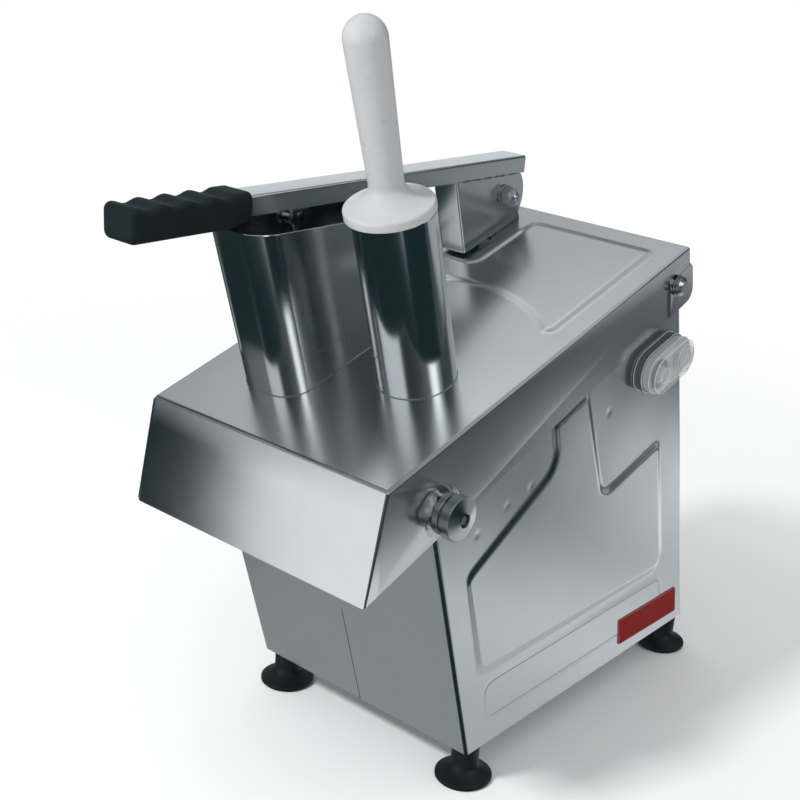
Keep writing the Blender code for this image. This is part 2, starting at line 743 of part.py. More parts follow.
def make_bearing_housing(aluminium, steel, rubber):
    at = (0, DISC_CENTRE, 0)
    level = drive_levels()
    seat, waist = BEARING_RADIUS + GAP, BEARING_RADIUS - 4 * MM
    barrel = seat + HOUSING_WALL
    under = level["top"] - HOUSING_FLANGE
    profile = [
        (HOUSING_FLANGE_RADIUS, level["top"]), (HOUSING_FLANGE_RADIUS, under), (barrel + 3 * MM, under),
        (barrel, under - 4 * MM), (barrel, level["end"]), (seat, level["end"]),
        (seat, level["lower"] + GAP),
        (waist, level["lower"] + GAP), (waist, level["upper"] - BEARING_WIDTH - GAP),
        (seat, level["upper"] - BEARING_WIDTH - GAP), (seat, level["top"]),
    ]
    add_lean("bearing_housing", turned(profile, at, closed=True), aluminium, LEAN_FRAME)
    inner = SHAFT_RADIUS + GAP
    for name, top in (("upper_bearing", level["upper"]), ("lower_bearing", level["lower"])):
        add_lean(name, ring(BEARING_RADIUS, inner, top - BEARING_WIDTH, top, at), steel, LEAN_FRAME)
    seal = ring(BEARING_RADIUS, inner, level["upper"] + GAP, level["top"] - GAP, at)
    add_lean("shaft_seal", seal, rubber, LEAN_FRAME)


def make_spindle(steel, aluminium, white):
    """What turns with the disc: shaft, cross pin, ejector, cutting disc with its blade, and pulley."""
    at = (0, DISC_CENTRE, 0)
    level = drive_levels()
    plate_low = DISC_TOP - DISC_THICKNESS
    hub_low = plate_low - DISC_HUB_DEPTH
    inner = SHAFT_RADIUS + GAP
    shaft = cylinder(SHAFT_RADIUS, level["pulley_low"] - 4 * MM, DISC_TOP - 1 * MM, at, ease=0.8 * MM)
    shaft = add_lean("drive_shaft", shaft, steel, SPINDLE)
    pin_at = (0, DISC_CENTRE, hub_low + DRIVE_PIN_RADIUS + 1.5 * MM)
    cut(shaft, cylinder(DRIVE_PIN_RADIUS + GAP, -DISC_HUB_RADIUS, DISC_HUB_RADIUS, pin_at, "u"), "pin_hole")
    reach = DISC_HUB_RADIUS - 3 * MM
    add_lean("drive_pin", cylinder(DRIVE_PIN_RADIUS, -reach, reach, pin_at, "u"), steel, SPINDLE)
    make_ejector(white, at, inner, hub_low)

    profile = [
        (DISC_RADIUS, DISC_TOP - 1 * MM), (DISC_RADIUS, plate_low), (DISC_HUB_RADIUS + 3 * MM, plate_low),
        (DISC_HUB_RADIUS, plate_low - 4 * MM), (DISC_HUB_RADIUS, hub_low), (inner, hub_low),
        (inner, DISC_TOP),
        (DISC_RADIUS - 1 * MM, DISC_TOP),
    ]
    disc = add_lean("cutting_disc", turned(profile, at, closed=True), aluminium, SPINDLE)
    half = DRIVE_PIN_RADIUS + GAP
    slot = box((-DISC_HUB_RADIUS - THROUGH, DISC_CENTRE - half, hub_low - THROUGH),
               (DISC_HUB_RADIUS + THROUGH, DISC_CENTRE + half, pin_at[2] + half))
    cut(disc, slot, "pin_slot")
    make_blade(disc, steel, plate_low)
    pulley = turned(pulley_section(DRIVEN_PULLEY_RADIUS, level["pulley"], inner, web=True), at, closed=True)
    add_lean("driven_pulley", pulley, aluminium, SPINDLE)


def make_ejector(white, at, inner, hub_low):
    """The sweeping plate under the disc, with two ribs that throw the slices out at the front."""
    radius = DISC_RADIUS - EJECTOR_INSET
    low = FLOOR_N + EJECTOR_FLOOR_GAP
    top = low + EJECTOR_THICKNESS
    profile = [
        (radius, top - 1 * MM), (radius, low), (inner, low), (inner, hub_low - GAP),
        (DISC_HUB_RADIUS, hub_low - GAP),
        (DISC_HUB_RADIUS + 2 * MM, top + 4 * MM), (DISC_HUB_RADIUS + 6 * MM, top), (radius - 1 * MM, top),
    ]
    ejector = add_lean("ejector_disc", turned(profile, at, closed=True), white, SPINDLE)
    half = EJECTOR_RIB_WIDTH / 2
    for side, tag in ((-1, "a"), (1, "b")):
        near, far = sorted((side * (DISC_HUB_RADIUS + 1 * MM), side * (radius - 4 * MM)))
        rib = box((near, DISC_CENTRE - half, top - 1 * MM),
                  (far, DISC_CENTRE + half, top + EJECTOR_RIB_HEIGHT))
        join(ejector, rib, f"rib_{tag}")


def make_blade(disc, steel, plate_low):
    """The slicing blade: seated flush in the disc over its mouth, held by two screws."""
    start = DISC_HUB_RADIUS + 4 * MM
    end = DISC_RADIUS - BLADE_RIM_GAP
    seat_front = DISC_CENTRE - 1 * MM
    seat_rear = seat_front + BLADE_WIDTH
    mouth_end = end - 6 * MM
    mouth = [(start, seat_front - BLADE_MOUTH), (mouth_end, seat_front - BLADE_MOUTH),
             (mouth_end, seat_front + 2 * MM), (start, seat_front + 2 * MM)]
    cut(disc, prism(rounded([(*c, 4 * MM) for c in mouth], 3), plate_low - THROUGH, THROUGH), "slice_mouth")
    seat_low = DISC_TOP - BLADE_THICKNESS
    edge = seat_front - 5 * MM
    cut(disc, box((start - 2 * MM, edge - GAP, seat_low), (end, seat_rear, THROUGH)), "blade_seat")
    low = seat_low + GAP
    top = low + BLADE_THICKNESS
    section = [(edge, low + 0.5 * MM), (seat_front + 1 * MM, low), (seat_rear - GAP, low),
               (seat_rear - GAP, top), (edge + 2 * MM, top)]
    blade = add_lean("blade", prism(section, start - 2 * MM + GAP, end - GAP, "u"), steel, SPINDLE)
    for number, share in ((1, 0.2), (2, 0.8)):
        spot = (start + (end - start) * share, seat_front + BLADE_WIDTH * 0.6, 0)
        for piece in (blade, disc):
            cut(piece, cylinder(SCREW_RADIUS + GAP, plate_low - THROUGH, THROUGH, spot),
                f"screw_hole_{number}")
        head = top + GAP
        profile = [(0, head + 1 * MM), (SCREW_RADIUS + 1 * MM, head + 0.8 * MM),
                   (SCREW_RADIUS + 1.6 * MM, head), (SCREW_RADIUS, head),
                   (SCREW_RADIUS, plate_low), (0, plate_low)]
        add_lean(f"blade_screw_{number}", turned(profile, spot), steel, SPINDLE)


def pulley_section(radius, top, inner, web=False):
    """Section of a flat-belt pulley with a rim each side. A large one has a thin web."""
    low = top - PULLEY_WIDTH
    rim = (PULLEY_WIDTH - BELT_WIDTH) / 2 - 0.2 * MM
    section = [(radius + PULLEY_RIM, top), (radius + PULLEY_RIM, top - rim), (radius, top - rim),
               (radius, low + rim),
               (radius + PULLEY_RIM, low + rim), (radius + PULLEY_RIM, low)]
    if web:
        hub, tyre = inner + 9 * MM, radius - 6 * MM
        middle = (top + low) / 2
        section += [(tyre, low), (tyre, middle - 2 * MM), (hub, middle - 2 * MM), (hub, low), (inner, low),
                    (inner, top), (hub, top),
                    (hub, middle + 2 * MM), (tyre, middle + 2 * MM), (tyre, top)]
    else:
        section += [(inner, low), (inner, top)]
    return section


def belt_outline(growth, steps=14):
    """The belt's path about both pulleys, moved out by growth."""
    big, small = DRIVEN_PULLEY_RADIUS + growth, MOTOR_PULLEY_RADIUS + growth
    turn = math.degrees(math.acos((big - small) / (MOTOR_CENTRE - DISC_CENTRE)))
    points = arc((0, DISC_CENTRE), big, 90 + turn, 450 - turn, 2 * steps)
    return points + arc((0, MOTOR_CENTRE), small, 90 - turn, 90 + turn, steps // 2)


def make_belt(rubber):
    level = drive_levels()
    low = (level["pulley"] + level["pulley_low"] - BELT_WIDTH) / 2
    belt = add_lean("drive_belt", prism(belt_outline(GAP + BELT_THICKNESS), low, low + BELT_WIDTH), rubber,
                    LEAN_FRAME)
    cut(belt, prism(belt_outline(GAP), low - THROUGH, low + BELT_WIDTH + THROUGH), "inside")


def make_motor(paint, steel, aluminium):
    """The motor hangs from a channel that spans the body between the pressed fields of its sides."""
    level = drive_levels()
    at = (0, MOTOR_CENTRE, 0)
    half = INSIDE_HALF + EMBOSS_HEIGHT - GAP
    under = level["mount"]
    foot = under - MOUNT_FLANGE
    section = [(-half, foot), (-half + MOUNT_SHEET, foot), (-half + MOUNT_SHEET, under),
               (half - MOUNT_SHEET, under),
               (half - MOUNT_SHEET, foot), (half, foot), (half, under + MOUNT_SHEET),
               (-half, under + MOUNT_SHEET)]
    start = MOTOR_CENTRE - MOUNT_LENGTH / 2
    mount = add_lean("motor_mount", prism(section, start, start + MOUNT_LENGTH, "v"), steel, LEAN_FRAME)
    cut(mount, cylinder(MOTOR_SHAFT_RADIUS + 9 * MM, under - THROUGH, under + THROUGH, at), "shaft_hole")

    top = under - GAP
    inner, bell = MOTOR_SHAFT_RADIUS + GAP, MOTOR_RADIUS - 2 * MM
    floor = BODY_CLEARANCE + GAP + BASE_THICKNESS
    low = lean_n_at_height(MOTOR_CENTRE - bell, floor + MOTOR_FLOOR_GAP)
    profile = [(inner, top), (bell - 6 * MM, top), (bell, top - 5 * MM), (bell, top - MOTOR_BELL),
               (MOTOR_RADIUS, top - MOTOR_BELL),
               (MOTOR_RADIUS, low + MOTOR_BELL), (bell, low + MOTOR_BELL), (bell, low + 5 * MM),
               (bell - 6 * MM, low), (inner, low)]
    add_lean("motor", turned(profile, at, closed=True), paint, LEAN_FRAME)
    shaft = cylinder(MOTOR_SHAFT_RADIUS, low + 2 * MM, level["pulley"] + 2 * MM, at, ease=0.6 * MM)
    add_lean("motor_shaft", shaft, steel, MOTOR_SPIN)
    pulley = turned(pulley_section(MOTOR_PULLEY_RADIUS, level["pulley"], inner), at, closed=True)
    add_lean("motor_pulley", pulley, aluminium, MOTOR_SPIN)


def make_electrics(plastic):
    """Capacitor and control box on the rear wall, and the interlock's sensor under the tray's deck."""
    rear = BODY_REAR - SHEET - GAP
    top = drive_levels()["mount"] - 24 * MM
    capacitor = cylinder(CAPACITOR_RADIUS, top - CAPACITOR_LENGTH, top,
                         (CAPACITOR_U, rear - CAPACITOR_RADIUS, 0), ease=1.5 * MM)
    add_lean("capacitor", capacitor, plastic, LEAN_FRAME)
    low = FLOOR_N + 10 * MM - CONTROL_HEIGHT
    block = box((-CONTROL_WIDTH / 2, rear - CONTROL_DEPTH, low),
                (CONTROL_WIDTH / 2, rear, low + CONTROL_HEIGHT))
    add_lean("control_box",
             bevel_where(block, 2 * MM, lambda e: all(v.co.y < rear - 1e-4 for v in e.verts)), plastic,
             LEAN_FRAME)


def make_interlock(plastic):
    """A magnet under the cover and a sensor under the deck: the motor runs only with the cover shut."""
    u = COVER_HALF - FIELD_SIDE_MARGIN - FIELD_SLOPE - MAGNET_WIDTH
    v = HINGE_V - MAGNET_LENGTH - 5 * MM
    half_width, half_length = MAGNET_WIDTH / 2, MAGNET_LENGTH / 2
    low, high = DECK_N + 2 * GAP, FIELD_HEIGHT - SHEET - GAP
    magnet = box((u - half_width, v - half_length, low), (u + half_width, v + half_length, high))
    add_lean("interlock_magnet", magnet, plastic, COVER_HINGE)
    top = DECK_N - TRAY_SHEET - GAP
    sensor = box((u - half_width, v - half_length, top - SENSOR_HEIGHT),
                 (u + half_width, v + half_length, top))
    add_lean("interlock_sensor", sensor, plastic, LEAN_FRAME)


def make_gland(plastic):
    """The cable's inlet in the rear wall: a body with a hexagon and a dome, and its nut inside."""
    outside, inside = BODY_REAR + GAP, BODY_REAR - SHEET - GAP
    clear = GLAND_RADIUS - 3.5 * MM
    at = (GLAND_U, 0, GLAND_N)
    collar, dome = GLAND_RADIUS + 3.4 * MM, GLAND_RADIUS + 1.6 * MM
    profile = [(clear, outside + 20 * MM), (clear, inside - 9 * MM), (GLAND_RADIUS, inside - 9 * MM),
               (GLAND_RADIUS, outside),
               (collar, outside), (collar, outside + 6 * MM), (dome, outside + 6.5 * MM),
               (dome, outside + 14 * MM),
               (GLAND_RADIUS - 0.5 * MM, outside + 19 * MM)]
    add_lean("cable_gland", turned(profile, at, axis="v", closed=True), plastic, LEAN_FRAME)
    nut = add_lean("gland_nut", hexagon(GLAND_RADIUS + 4 * MM, inside - 6 * MM, inside, at, "v"), plastic,
                   LEAN_FRAME)
    cut(nut, bore(GLAND_RADIUS, inside, at, "v"), "thread")


# Switch

def switch_outline(shrink=0.0, steps=8):
    return stadium((SWITCH_V, SWITCH_N), (SWITCH_V + SWITCH_PITCH, SWITCH_N), SWITCH_RADIUS - shrink, steps)


def switch_levels():
    """u of the switch's layers, from the body's side outwards."""
    seat = BODY_HALF + GAP
    gasket = seat + GASKET_HEIGHT
    frame = gasket + GAP
    frame_top = frame + FRAME_HEIGHT
    boot = frame_top + GAP
    return {"seat": seat, "gasket": gasket, "frame": frame, "frame_top": frame_top, "boot": boot,
            "boot_top": boot + BOOT_HEIGHT}


def button_places():
    """Name, radius, dome height and centre of each button."""
    return (("start", START_RADIUS, START_DOME, (0, SWITCH_V, SWITCH_N)),
            ("stop", STOP_RADIUS, STOP_DOME, (0, SWITCH_V + SWITCH_PITCH, SWITCH_N)))


def boot_shapes(level, shrink):
    """Outside of the clear boot, or its inside: a stadium cap with a dome over each button."""
    base = level["boot"] - (THROUGH if shrink else 0)
    top = level["boot_top"] - shrink
    cap = prism(switch_outline(BOOT_INSET + shrink), base, top, "u")
    shapes = [bevel_where(cap, 2.4 * MM - shrink, lambda e: all(v.co.x > top - 1e-6 for v in e.verts))]
    for _, radius, dome, spot in button_places():
        wide, crown, waist = radius + 3 * MM - shrink, top + dome, level["boot"] + 2 * MM - shrink
        profile = [(0, crown)]
        for angle in (30, 60, 90):
            a = math.radians(angle)
            profile.append((wide * math.sin(a), waist + (crown - waist) * math.cos(a) ** 0.6))
        profile += [(wide, base), (0, base)]
        shapes.append(turned(profile, spot, axis="u"))
    return shapes


def make_switch(dark, grey, clear, light, plastic):
    """Start and stop buttons in one unit: gasket, frame, clear boot, and contact block behind."""
    level = switch_levels()
    gasket = add_lean("switch_gasket", prism(switch_outline(), level["seat"], level["gasket"], "u"), dark,
                      LEAN_FRAME)
    cut(gasket,
        prism(switch_outline(GASKET_WALL), level["seat"] - THROUGH, level["gasket"] + THROUGH, "u"),
        "inside")
    frame = add_lean("switch_frame",
                     prism(switch_outline(FRAME_INSET), level["frame"], level["frame_top"], "u"), grey,
                     LEAN_FRAME)
    body, *domes = boot_shapes(level, 0)
    boot = add_lean("switch_boot", body, clear, LEAN_FRAME)
    for k, dome in enumerate(domes):
        join(boot, dome, f"dome_{k + 1}")
    for k, inside in enumerate(boot_shapes(level, BOOT_WALL)):
        cut(boot, inside, f"inside_{k + 1}")

    back = INSIDE_HALF - GAP - BUTTON_TRAVEL - 4 * MM
    block = add_lean("contact_block", prism(switch_outline(2 * MM, 5), back - CONTACT_DEPTH, back, "u"),
                     plastic, LEAN_FRAME)
    join(block, prism(switch_outline(-1.5 * MM, 5), back - 4 * MM, INSIDE_HALF - GAP, "u"), "flange")
    parents = {"start": START_SLIDE, "stop": STOP_SLIDE}
    for name, radius, dome, spot in button_places():
        cut(frame, bore(radius, level["frame"], spot), name)
        cut(block, cylinder(radius, back - 1 * MM, INSIDE_HALF + THROUGH, spot, "u"), f"well_{name}")
        top = level["boot_top"] + dome - BOOT_WALL - GAP - 1 * MM
        skirt = level["frame"] + 1 * MM
        neck = radius - 2.5 * MM
        profile = [(0, top), (radius - 2 * MM, top - 0.6 * MM), (radius - 0.6 * MM, top - 2 * MM),
                   (radius, level["frame_top"] + 0.5 * MM),
                   (radius, skirt), (neck, skirt), (neck, INSIDE_HALF), (0, INSIDE_HALF)]
        add_lean(f"{name}_button", turned(profile, spot, axis="u"), light, parents[name])


# Clamp knob and cover hinge

def make_knob(steel):
    seat = COVER_HALF + BOSS_HEIGHT + GAP
    end = seat + KNOB_LENGTH
    at = (0, KNOB_V, KNOB_N)
    head_top = INSIDE_HALF - GAP
    head_low = head_top - TRAY_SHEET + GAP
    profile = [(0, end - 1.5 * MM), (STUD_RADIUS - 0.8 * MM, end - 1.5 * MM),
               (STUD_RADIUS, end - 2.3 * MM), (STUD_RADIUS, head_top),
               (STUD_HEAD_RADIUS, head_top), (STUD_HEAD_RADIUS, head_low), (0, head_low)]
    add_lean("knob_stud", turned(profile, at, axis="u"), steel, LEAN_FRAME)

    inner = STUD_RADIUS + GAP
    rim_high = end - KNOB_CONE
    rim_low = rim_high - KNOB_RIM
    groove = KNOB_NECK_RADIUS - 2 * MM
    profile = [(inner, end - 1 * MM), (inner, seat), (KNOB_NECK_RADIUS, seat),
               (KNOB_NECK_RADIUS, seat + KNOB_BASE), (groove, seat + KNOB_BASE),
               (groove, rim_low), (KNOB_RADIUS, rim_low), (KNOB_RADIUS, rim_high), (inner + 1.4 * MM, end)]
    knob = turned(profile, at, 2 * KNOB_TEETH, "u", closed=True)
    for vert in knob.verts:
        offset = vert.co - Vector(at)
        offset.x = 0
        tooth = round(math.atan2(offset.z, offset.y) / math.tau * 2 * KNOB_TEETH)
        if offset.length > KNOB_RADIUS - 0.1 * MM and tooth % 2:
            vert.co -= offset.normalized() * 0.6 * MM
    add_lean("clamp_knob", knob, steel, KNOB_TURN)


def make_hinge(steel):
    """A bolt, washer and nut each side. The cover turns on the bolts."""
    inside = INSIDE_HALF - GAP
    washer = COVER_HALF + PAD_HEIGHT + GAP
    head = washer + HINGE_WASHER + GAP
    end = inside - HINGE_NUT - 3 * MM
    at = (0, HINGE_V, HINGE_N)
    profile = [(0, head + HINGE_HEAD), (HINGE_HEAD_RADIUS - 2.5 * MM, head + HINGE_HEAD),
               (HINGE_HEAD_RADIUS, head + HINGE_HEAD * 0.5),
               (HINGE_HEAD_RADIUS, head), (HINGE_RADIUS, head), (HINGE_RADIUS, end), (0, end)]
    for side, tag in ((-1, "left"), (1, "right")):
        bolt = turned([(radius, side * u) for radius, u in profile], at, axis="u")
        add_lean(f"hinge_bolt_{tag}", bolt, steel, LEAN_FRAME)
        low, high = sorted((side * washer, side * (washer + HINGE_WASHER)))
        add_lean(f"hinge_washer_{tag}", ring(HINGE_WASHER_RADIUS, HINGE_RADIUS + GAP, low, high, at, "u"),
                 steel, LEAN_FRAME)
        low, high = sorted((side * (inside - HINGE_NUT), side * inside))
        nut = add_lean(f"hinge_nut_{tag}", hexagon(HINGE_RADIUS + 4 * MM, low, high, at), steel, LEAN_FRAME)
        cut(nut, bore(HINGE_RADIUS, low, at), "thread")


# Cover and what is welded to it

def flange_edge():
    """Lower edge of the cover's side flanges, as (v, n): from the hood's lip to the rounded rear corner."""
    middle = (COVER_LENGTH - FLANGE_CORNER, -FLANGE_DEPTH_REAR + FLANGE_CORNER)
    return [(-HOOD_REACH, -HOOD_DEPTH)] + arc(middle, FLANGE_CORNER, -90, 0, 4)


def hood_outline(shrink, low):
    """Side view of the hood: sloped front, flat top and square rear."""
    slope = HOOD_REACH / HOOD_DEPTH
    across = shrink * math.sqrt(1 + slope ** 2)
    rear = COVER_LENGTH - shrink
    return [(across - shrink * slope, -shrink), (rear, -shrink), (rear, low), (across + slope * low, low)]


def hopper_outline(shrink=0.0):
    front, rear = DISC_CENTRE - HOPPER_HALF_LENGTH, DISC_CENTRE + HOPPER_HALF_LENGTH
    outline = half_moon(HOPPER_INNER_SIDE, HOPPER_ARC_RADIUS, front, rear, HOPPER_CORNER)
    return inset(outline, shrink) if shrink else outline


def cover_field():
    """The raised field behind the disc: its front edge follows the disc, a notch clears the lever's stand."""
    side = COVER_HALF - FIELD_SIDE_MARGIN
    rear = COVER_LENGTH - FIELD_REAR_MARGIN
    radius = DISC_RADIUS + FIELD_GAP
    end = math.degrees(math.acos((side - FIELD_CORNER) / radius))
    front = arc((0, DISC_CENTRE), radius, 180 - end, end, 14)
    notch_u = LEVER_U + NOTCH_SIDE
    notch_v = PIVOT_V - NOTCH_SHARE * (PIVOT_V - DISC_CENTRE - radius)
    turn = front[-1][1] + FIELD_CORNER
    points = front + arc((side - FIELD_CORNER, turn), FIELD_CORNER, -50, 0, 3)
    points += arc((side - FIELD_CORNER, rear - FIELD_CORNER), FIELD_CORNER, 0, 90, 3)
    points += arc((notch_u + FIELD_CORNER, rear - FIELD_CORNER), FIELD_CORNER, 90, 180, 3)
    points += arc((notch_u - FIELD_CORNER, notch_v + FIELD_CORNER), FIELD_CORNER, 0, -90, 3)
    points += arc((-side + FIELD_CORNER, notch_v - FIELD_CORNER), FIELD_CORNER, 90, 180, 3)
    return points + arc((-side + FIELD_CORNER, turn), FIELD_CORNER, 180, 230, 3)


def pad_outline():
    """The joggled pad round a hinge bolt, as (v, n). The flange's edges trim its lower and rear sides."""
    front = COVER_LENGTH - PAD_LENGTH
    over = 8 * MM
    low = -FLANGE_DEPTH_REAR - over
    return rounded([(front, low, 0), (COVER_LENGTH + over, low, 0),
                    (COVER_LENGTH + over, -PAD_TOP - 2 * MM, 0), (front, -PAD_TOP, 4 * MM)], 3)


def knob_slot():
    """The flange's slot for the clamp stud, along its path about the hinge, open at the lower edge."""
    middle = Vector((KNOB_V, KNOB_N))
    spoke = (middle - Vector((HINGE_V, HINGE_N))).normalized()
    down = Vector((-spoke.y, spoke.x))
    half = STUD_RADIUS + SLOT_SIDE_GAP
    angle = math.degrees(math.atan2(spoke.y, spoke.x))
    top = arc(tuple(middle), half, angle, angle - 180, 6)
    return top + [tuple(middle - spoke * half + down * HOOD_DEPTH),
                  tuple(middle + spoke * half + down * HOOD_DEPTH)]


def make_cover(steel):
    """One folded sheet: flat top, sloped hood in front, side flanges and a short rear lip."""
    low = -HOOD_DEPTH - THROUGH
    hood = prism(hood_outline(0, low), -COVER_HALF, COVER_HALF, "u")
    crease = lambda e: all(v.co.z > low + 1e-5 for v in e.verts)
    corner = lambda e: level_in_u(e) and any(v.co.z > -1e-5 for v in e.verts)
    cover = add_lean("cover", bevel_where(hood, COVER_BEND, lambda e: crease(e) or corner(e)), steel,
                     COVER_HINGE)
    inside = COVER_HALF - SHEET
    cut(cover, prism(hood_outline(SHEET, low - THROUGH), -inside, inside, "u"), "hollow")
    emboss(cover, circle((KNOB_V, KNOB_N), BOSS_RADIUS, 24), BOSS_SLOPE, BOSS_HEIGHT, COVER_HALF, "u",
           "boss")
    for side, tag in ((-1, "left"), (1, "right")):
        pad, face = pad_outline(), side * COVER_HALF
        join(cover,
             frustum(pad, inset(pad, 3 * MM), face - side * SHEET / 2, face + side * PAD_HEIGHT, "u"),
             f"pad_{tag}")
    past = COVER_LENGTH + FAR
    below = flange_edge() + [(COVER_LENGTH, THROUGH), (past, THROUGH), (past, -FAR), (-FAR, -FAR),
                             (-FAR, -HOOD_DEPTH)]
    cut(cover, prism(below, -COVER_WIDTH, COVER_WIDTH, "u"), "edge")
    cut(cover, box((-inside, BODY_REAR, -FAR), (inside, past, -REAR_LIP)), "rear_opening")
    for side, tag in ((-1, "left"), (1, "right")):
        cut(cover, bore(HINGE_RADIUS, side * COVER_HALF, (0, HINGE_V, HINGE_N)), f"hinge_{tag}")
    cut(cover, prism(knob_slot(), COVER_HALF - THROUGH, COVER_HALF + THROUGH, "u"), "slot")
    cut(cover, prism(hopper_outline(HOPPER_WALL), -THROUGH, THROUGH), "hopper_hole")
    cut(cover, cylinder(TUBE_RADIUS - TUBE_WALL, -THROUGH, THROUGH, (TUBE_CENTRE_U, DISC_CENTRE, 0)),
        "tube_hole")
    emboss(cover, cover_field(), FIELD_SLOPE, FIELD_HEIGHT, 0, "n", "field")


def make_hopper(steel):
    rim_height = lean_to_world(0, PIVOT_V, PIVOT_N).z + BAR_ABOVE_PIVOT - GRIP_DROP - HOPPER_RIM_GAP
    hopper = wall(hopper_outline(), HOPPER_WALL, GAP, lambda v: lean_n_at_height(v, rim_height))
    add_lean("hopper", hopper, steel, COVER_HINGE)
    tube = ring(TUBE_RADIUS, TUBE_RADIUS - TUBE_WALL, GAP, TUBE_HEIGHT, (TUBE_CENTRE_U, DISC_CENTRE, 0))
    add_lean("round_tube", tube, steel, COVER_HINGE)


def make_pestle(white):
    """Turned in one piece: plunger, flange that sits on the tube, and a handle with a round head."""
    seat = TUBE_HEIGHT + GAP
    top = seat + PESTLE_FLANGE
    neck = top + PESTLE_NECK_HEIGHT
    crown = TUBE_HEIGHT + PESTLE_HANDLE
    head = crown - PESTLE_HEAD_RADIUS
    rim = PESTLE_FLANGE_RADIUS
    profile = [(0, crown)] + [(x, head + y) for x, y in arc((0, 0), PESTLE_HEAD_RADIUS, 68, 0, 3)]
    for t in (0.0, 0.25, 0.55, 1.0):
        radius = PESTLE_NECK_RADIUS + (rim - 6 * MM - PESTLE_NECK_RADIUS) * t ** 1.8
        profile.append((radius, neck + (top + 1.5 * MM - neck) * t ** 0.75))
    profile += [(rim - 2 * MM, top), (rim, top - 2 * MM), (rim, seat), (PESTLE_RADIUS, seat),
                (PESTLE_RADIUS, PESTLE_TIP + 2 * MM),
                (PESTLE_RADIUS - 2 * MM, PESTLE_TIP), (0, PESTLE_TIP)]
    add_lean("pestle", turned(profile, (TUBE_CENTRE_U - PESTLE_SHIFT, DISC_CENTRE - PESTLE_SHIFT, 0)),
             white, PESTLE_SLIDE)


def make_bracket(steel):
    """The pivot's stand on the cover: a channel whose two ears hold the pivot bolt."""
    outer = BAR_WIDTH / 2 - CHEEK_SHEET - GAP
    side = [(PIVOT_V - BRACKET_FOOT / 2, GAP), (PIVOT_V + BRACKET_FOOT / 2, GAP)]
    side += arc((PIVOT_V, PIVOT_N), BRACKET_EAR_RADIUS, 0, 180, 8)
    bracket = add_lean("lever_bracket", prism(side, LEVER_U - outer, LEVER_U + outer, "u"), steel,
                       COVER_HINGE)
    room = outer - BRACKET_SHEET
    low = GAP + BRACKET_SHEET
    cut(bracket,
        box((LEVER_U - room, PIVOT_V - BRACKET_FOOT, low), (LEVER_U + room, PIVOT_V + BRACKET_FOOT, FAR)),
        "channel")
    hole = cylinder(PIVOT_RADIUS + GAP, LEVER_U - outer - THROUGH, LEVER_U + outer + THROUGH,
                    (0, PIVOT_V, PIVOT_N), "u")
    cut(bracket, hole, "bore")


# Lever, drawn in the level frame about its pivot

def make_lever_bar(steel):
    half = BAR_WIDTH / 2
    low, high = BAR_ABOVE_PIVOT, BAR_ABOVE_PIVOT + BAR_HEIGHT
    bar = box((-half, -BAR_FRONT, low), (half, BAR_REAR, high))
    along = lambda e: level_in_u(e) and all(v.co.z > high - 1e-6 for v in e.verts)
    bar = add("lever_bar", bevel_where(bar, BAR_BEND, along), steel, LEVER_PIVOT)
    room = half - BAR_WALL
    cut(bar,
        box((-room, -BAR_FRONT - THROUGH, low - THROUGH), (room, BAR_REAR - BAR_WALL, high - BAR_WALL)),
        "channel")
    pin_y, pin_z = level_from_pivot(PUSHER_PIN_V, PUSHER_PIN_N)
    top = high - BAR_WALL / 2
    lug = [(pin_y - LUG_RADIUS, top)] + arc((pin_y, pin_z), LUG_RADIUS, 180, 360,
                                            6) + [(pin_y + LUG_RADIUS, top)]
    inner = PUSHER_ROD_RADIUS + GAP
    for side, tag in ((-1, "left"), (1, "right")):
        near, far = sorted((side * inner, side * (inner + LUG_SHEET)))
        join(bar, prism(lug, near, far, "u"), f"lug_{tag}")
    cut(bar, cylinder(PUSHER_PIN_RADIUS + GAP, -half, half, (0, pin_y, pin_z), "u"), "pin_hole")


def make_cheek_box(steel):
    """The folded box under the bar's rear end: a front plate and two cheeks that straddle the stand."""
    half = BAR_WIDTH / 2
    top = BAR_ABOVE_PIVOT - GAP
    low = level_from_pivot(PIVOT_V - CHEEK_FRONT, PIVOT_N - CHEEK_RADIUS)
    up = Vector((-math.sin(LEAN), math.cos(LEAN)))
    high = Vector(low) + up * ((top - low[1]) / up.y)
    rear = math.degrees(math.asin(top / CHEEK_RADIUS))
    side = [tuple(high), low] + arc((0, 0), CHEEK_RADIUS, math.degrees(LEAN) - 90, rear, 12)
    mesh = prism(side, -half, half, "u")
    fold = lambda e: level_in_u(e) and all(v.co.y < low[0] + 1e-5 for v in e.verts)
    cheek = add("cheek_box", bevel_where(mesh, CHEEK_BEND, fold), steel, LEVER_PIVOT)
    room = half - CHEEK_SHEET
    behind = Vector(low) + Vector((CHEEK_SHEET / up.y, 0))
    inside = [tuple(behind + up * FAR), tuple(behind - up * FAR), (FAR, -FAR), (FAR, FAR)]
    cut(cheek, prism(inside, -room, room, "u"), "inside")
    cut(cheek, cylinder(PIVOT_RADIUS + GAP, -half - THROUGH, half + THROUGH, (0, 0, 0), "u"), "bore")


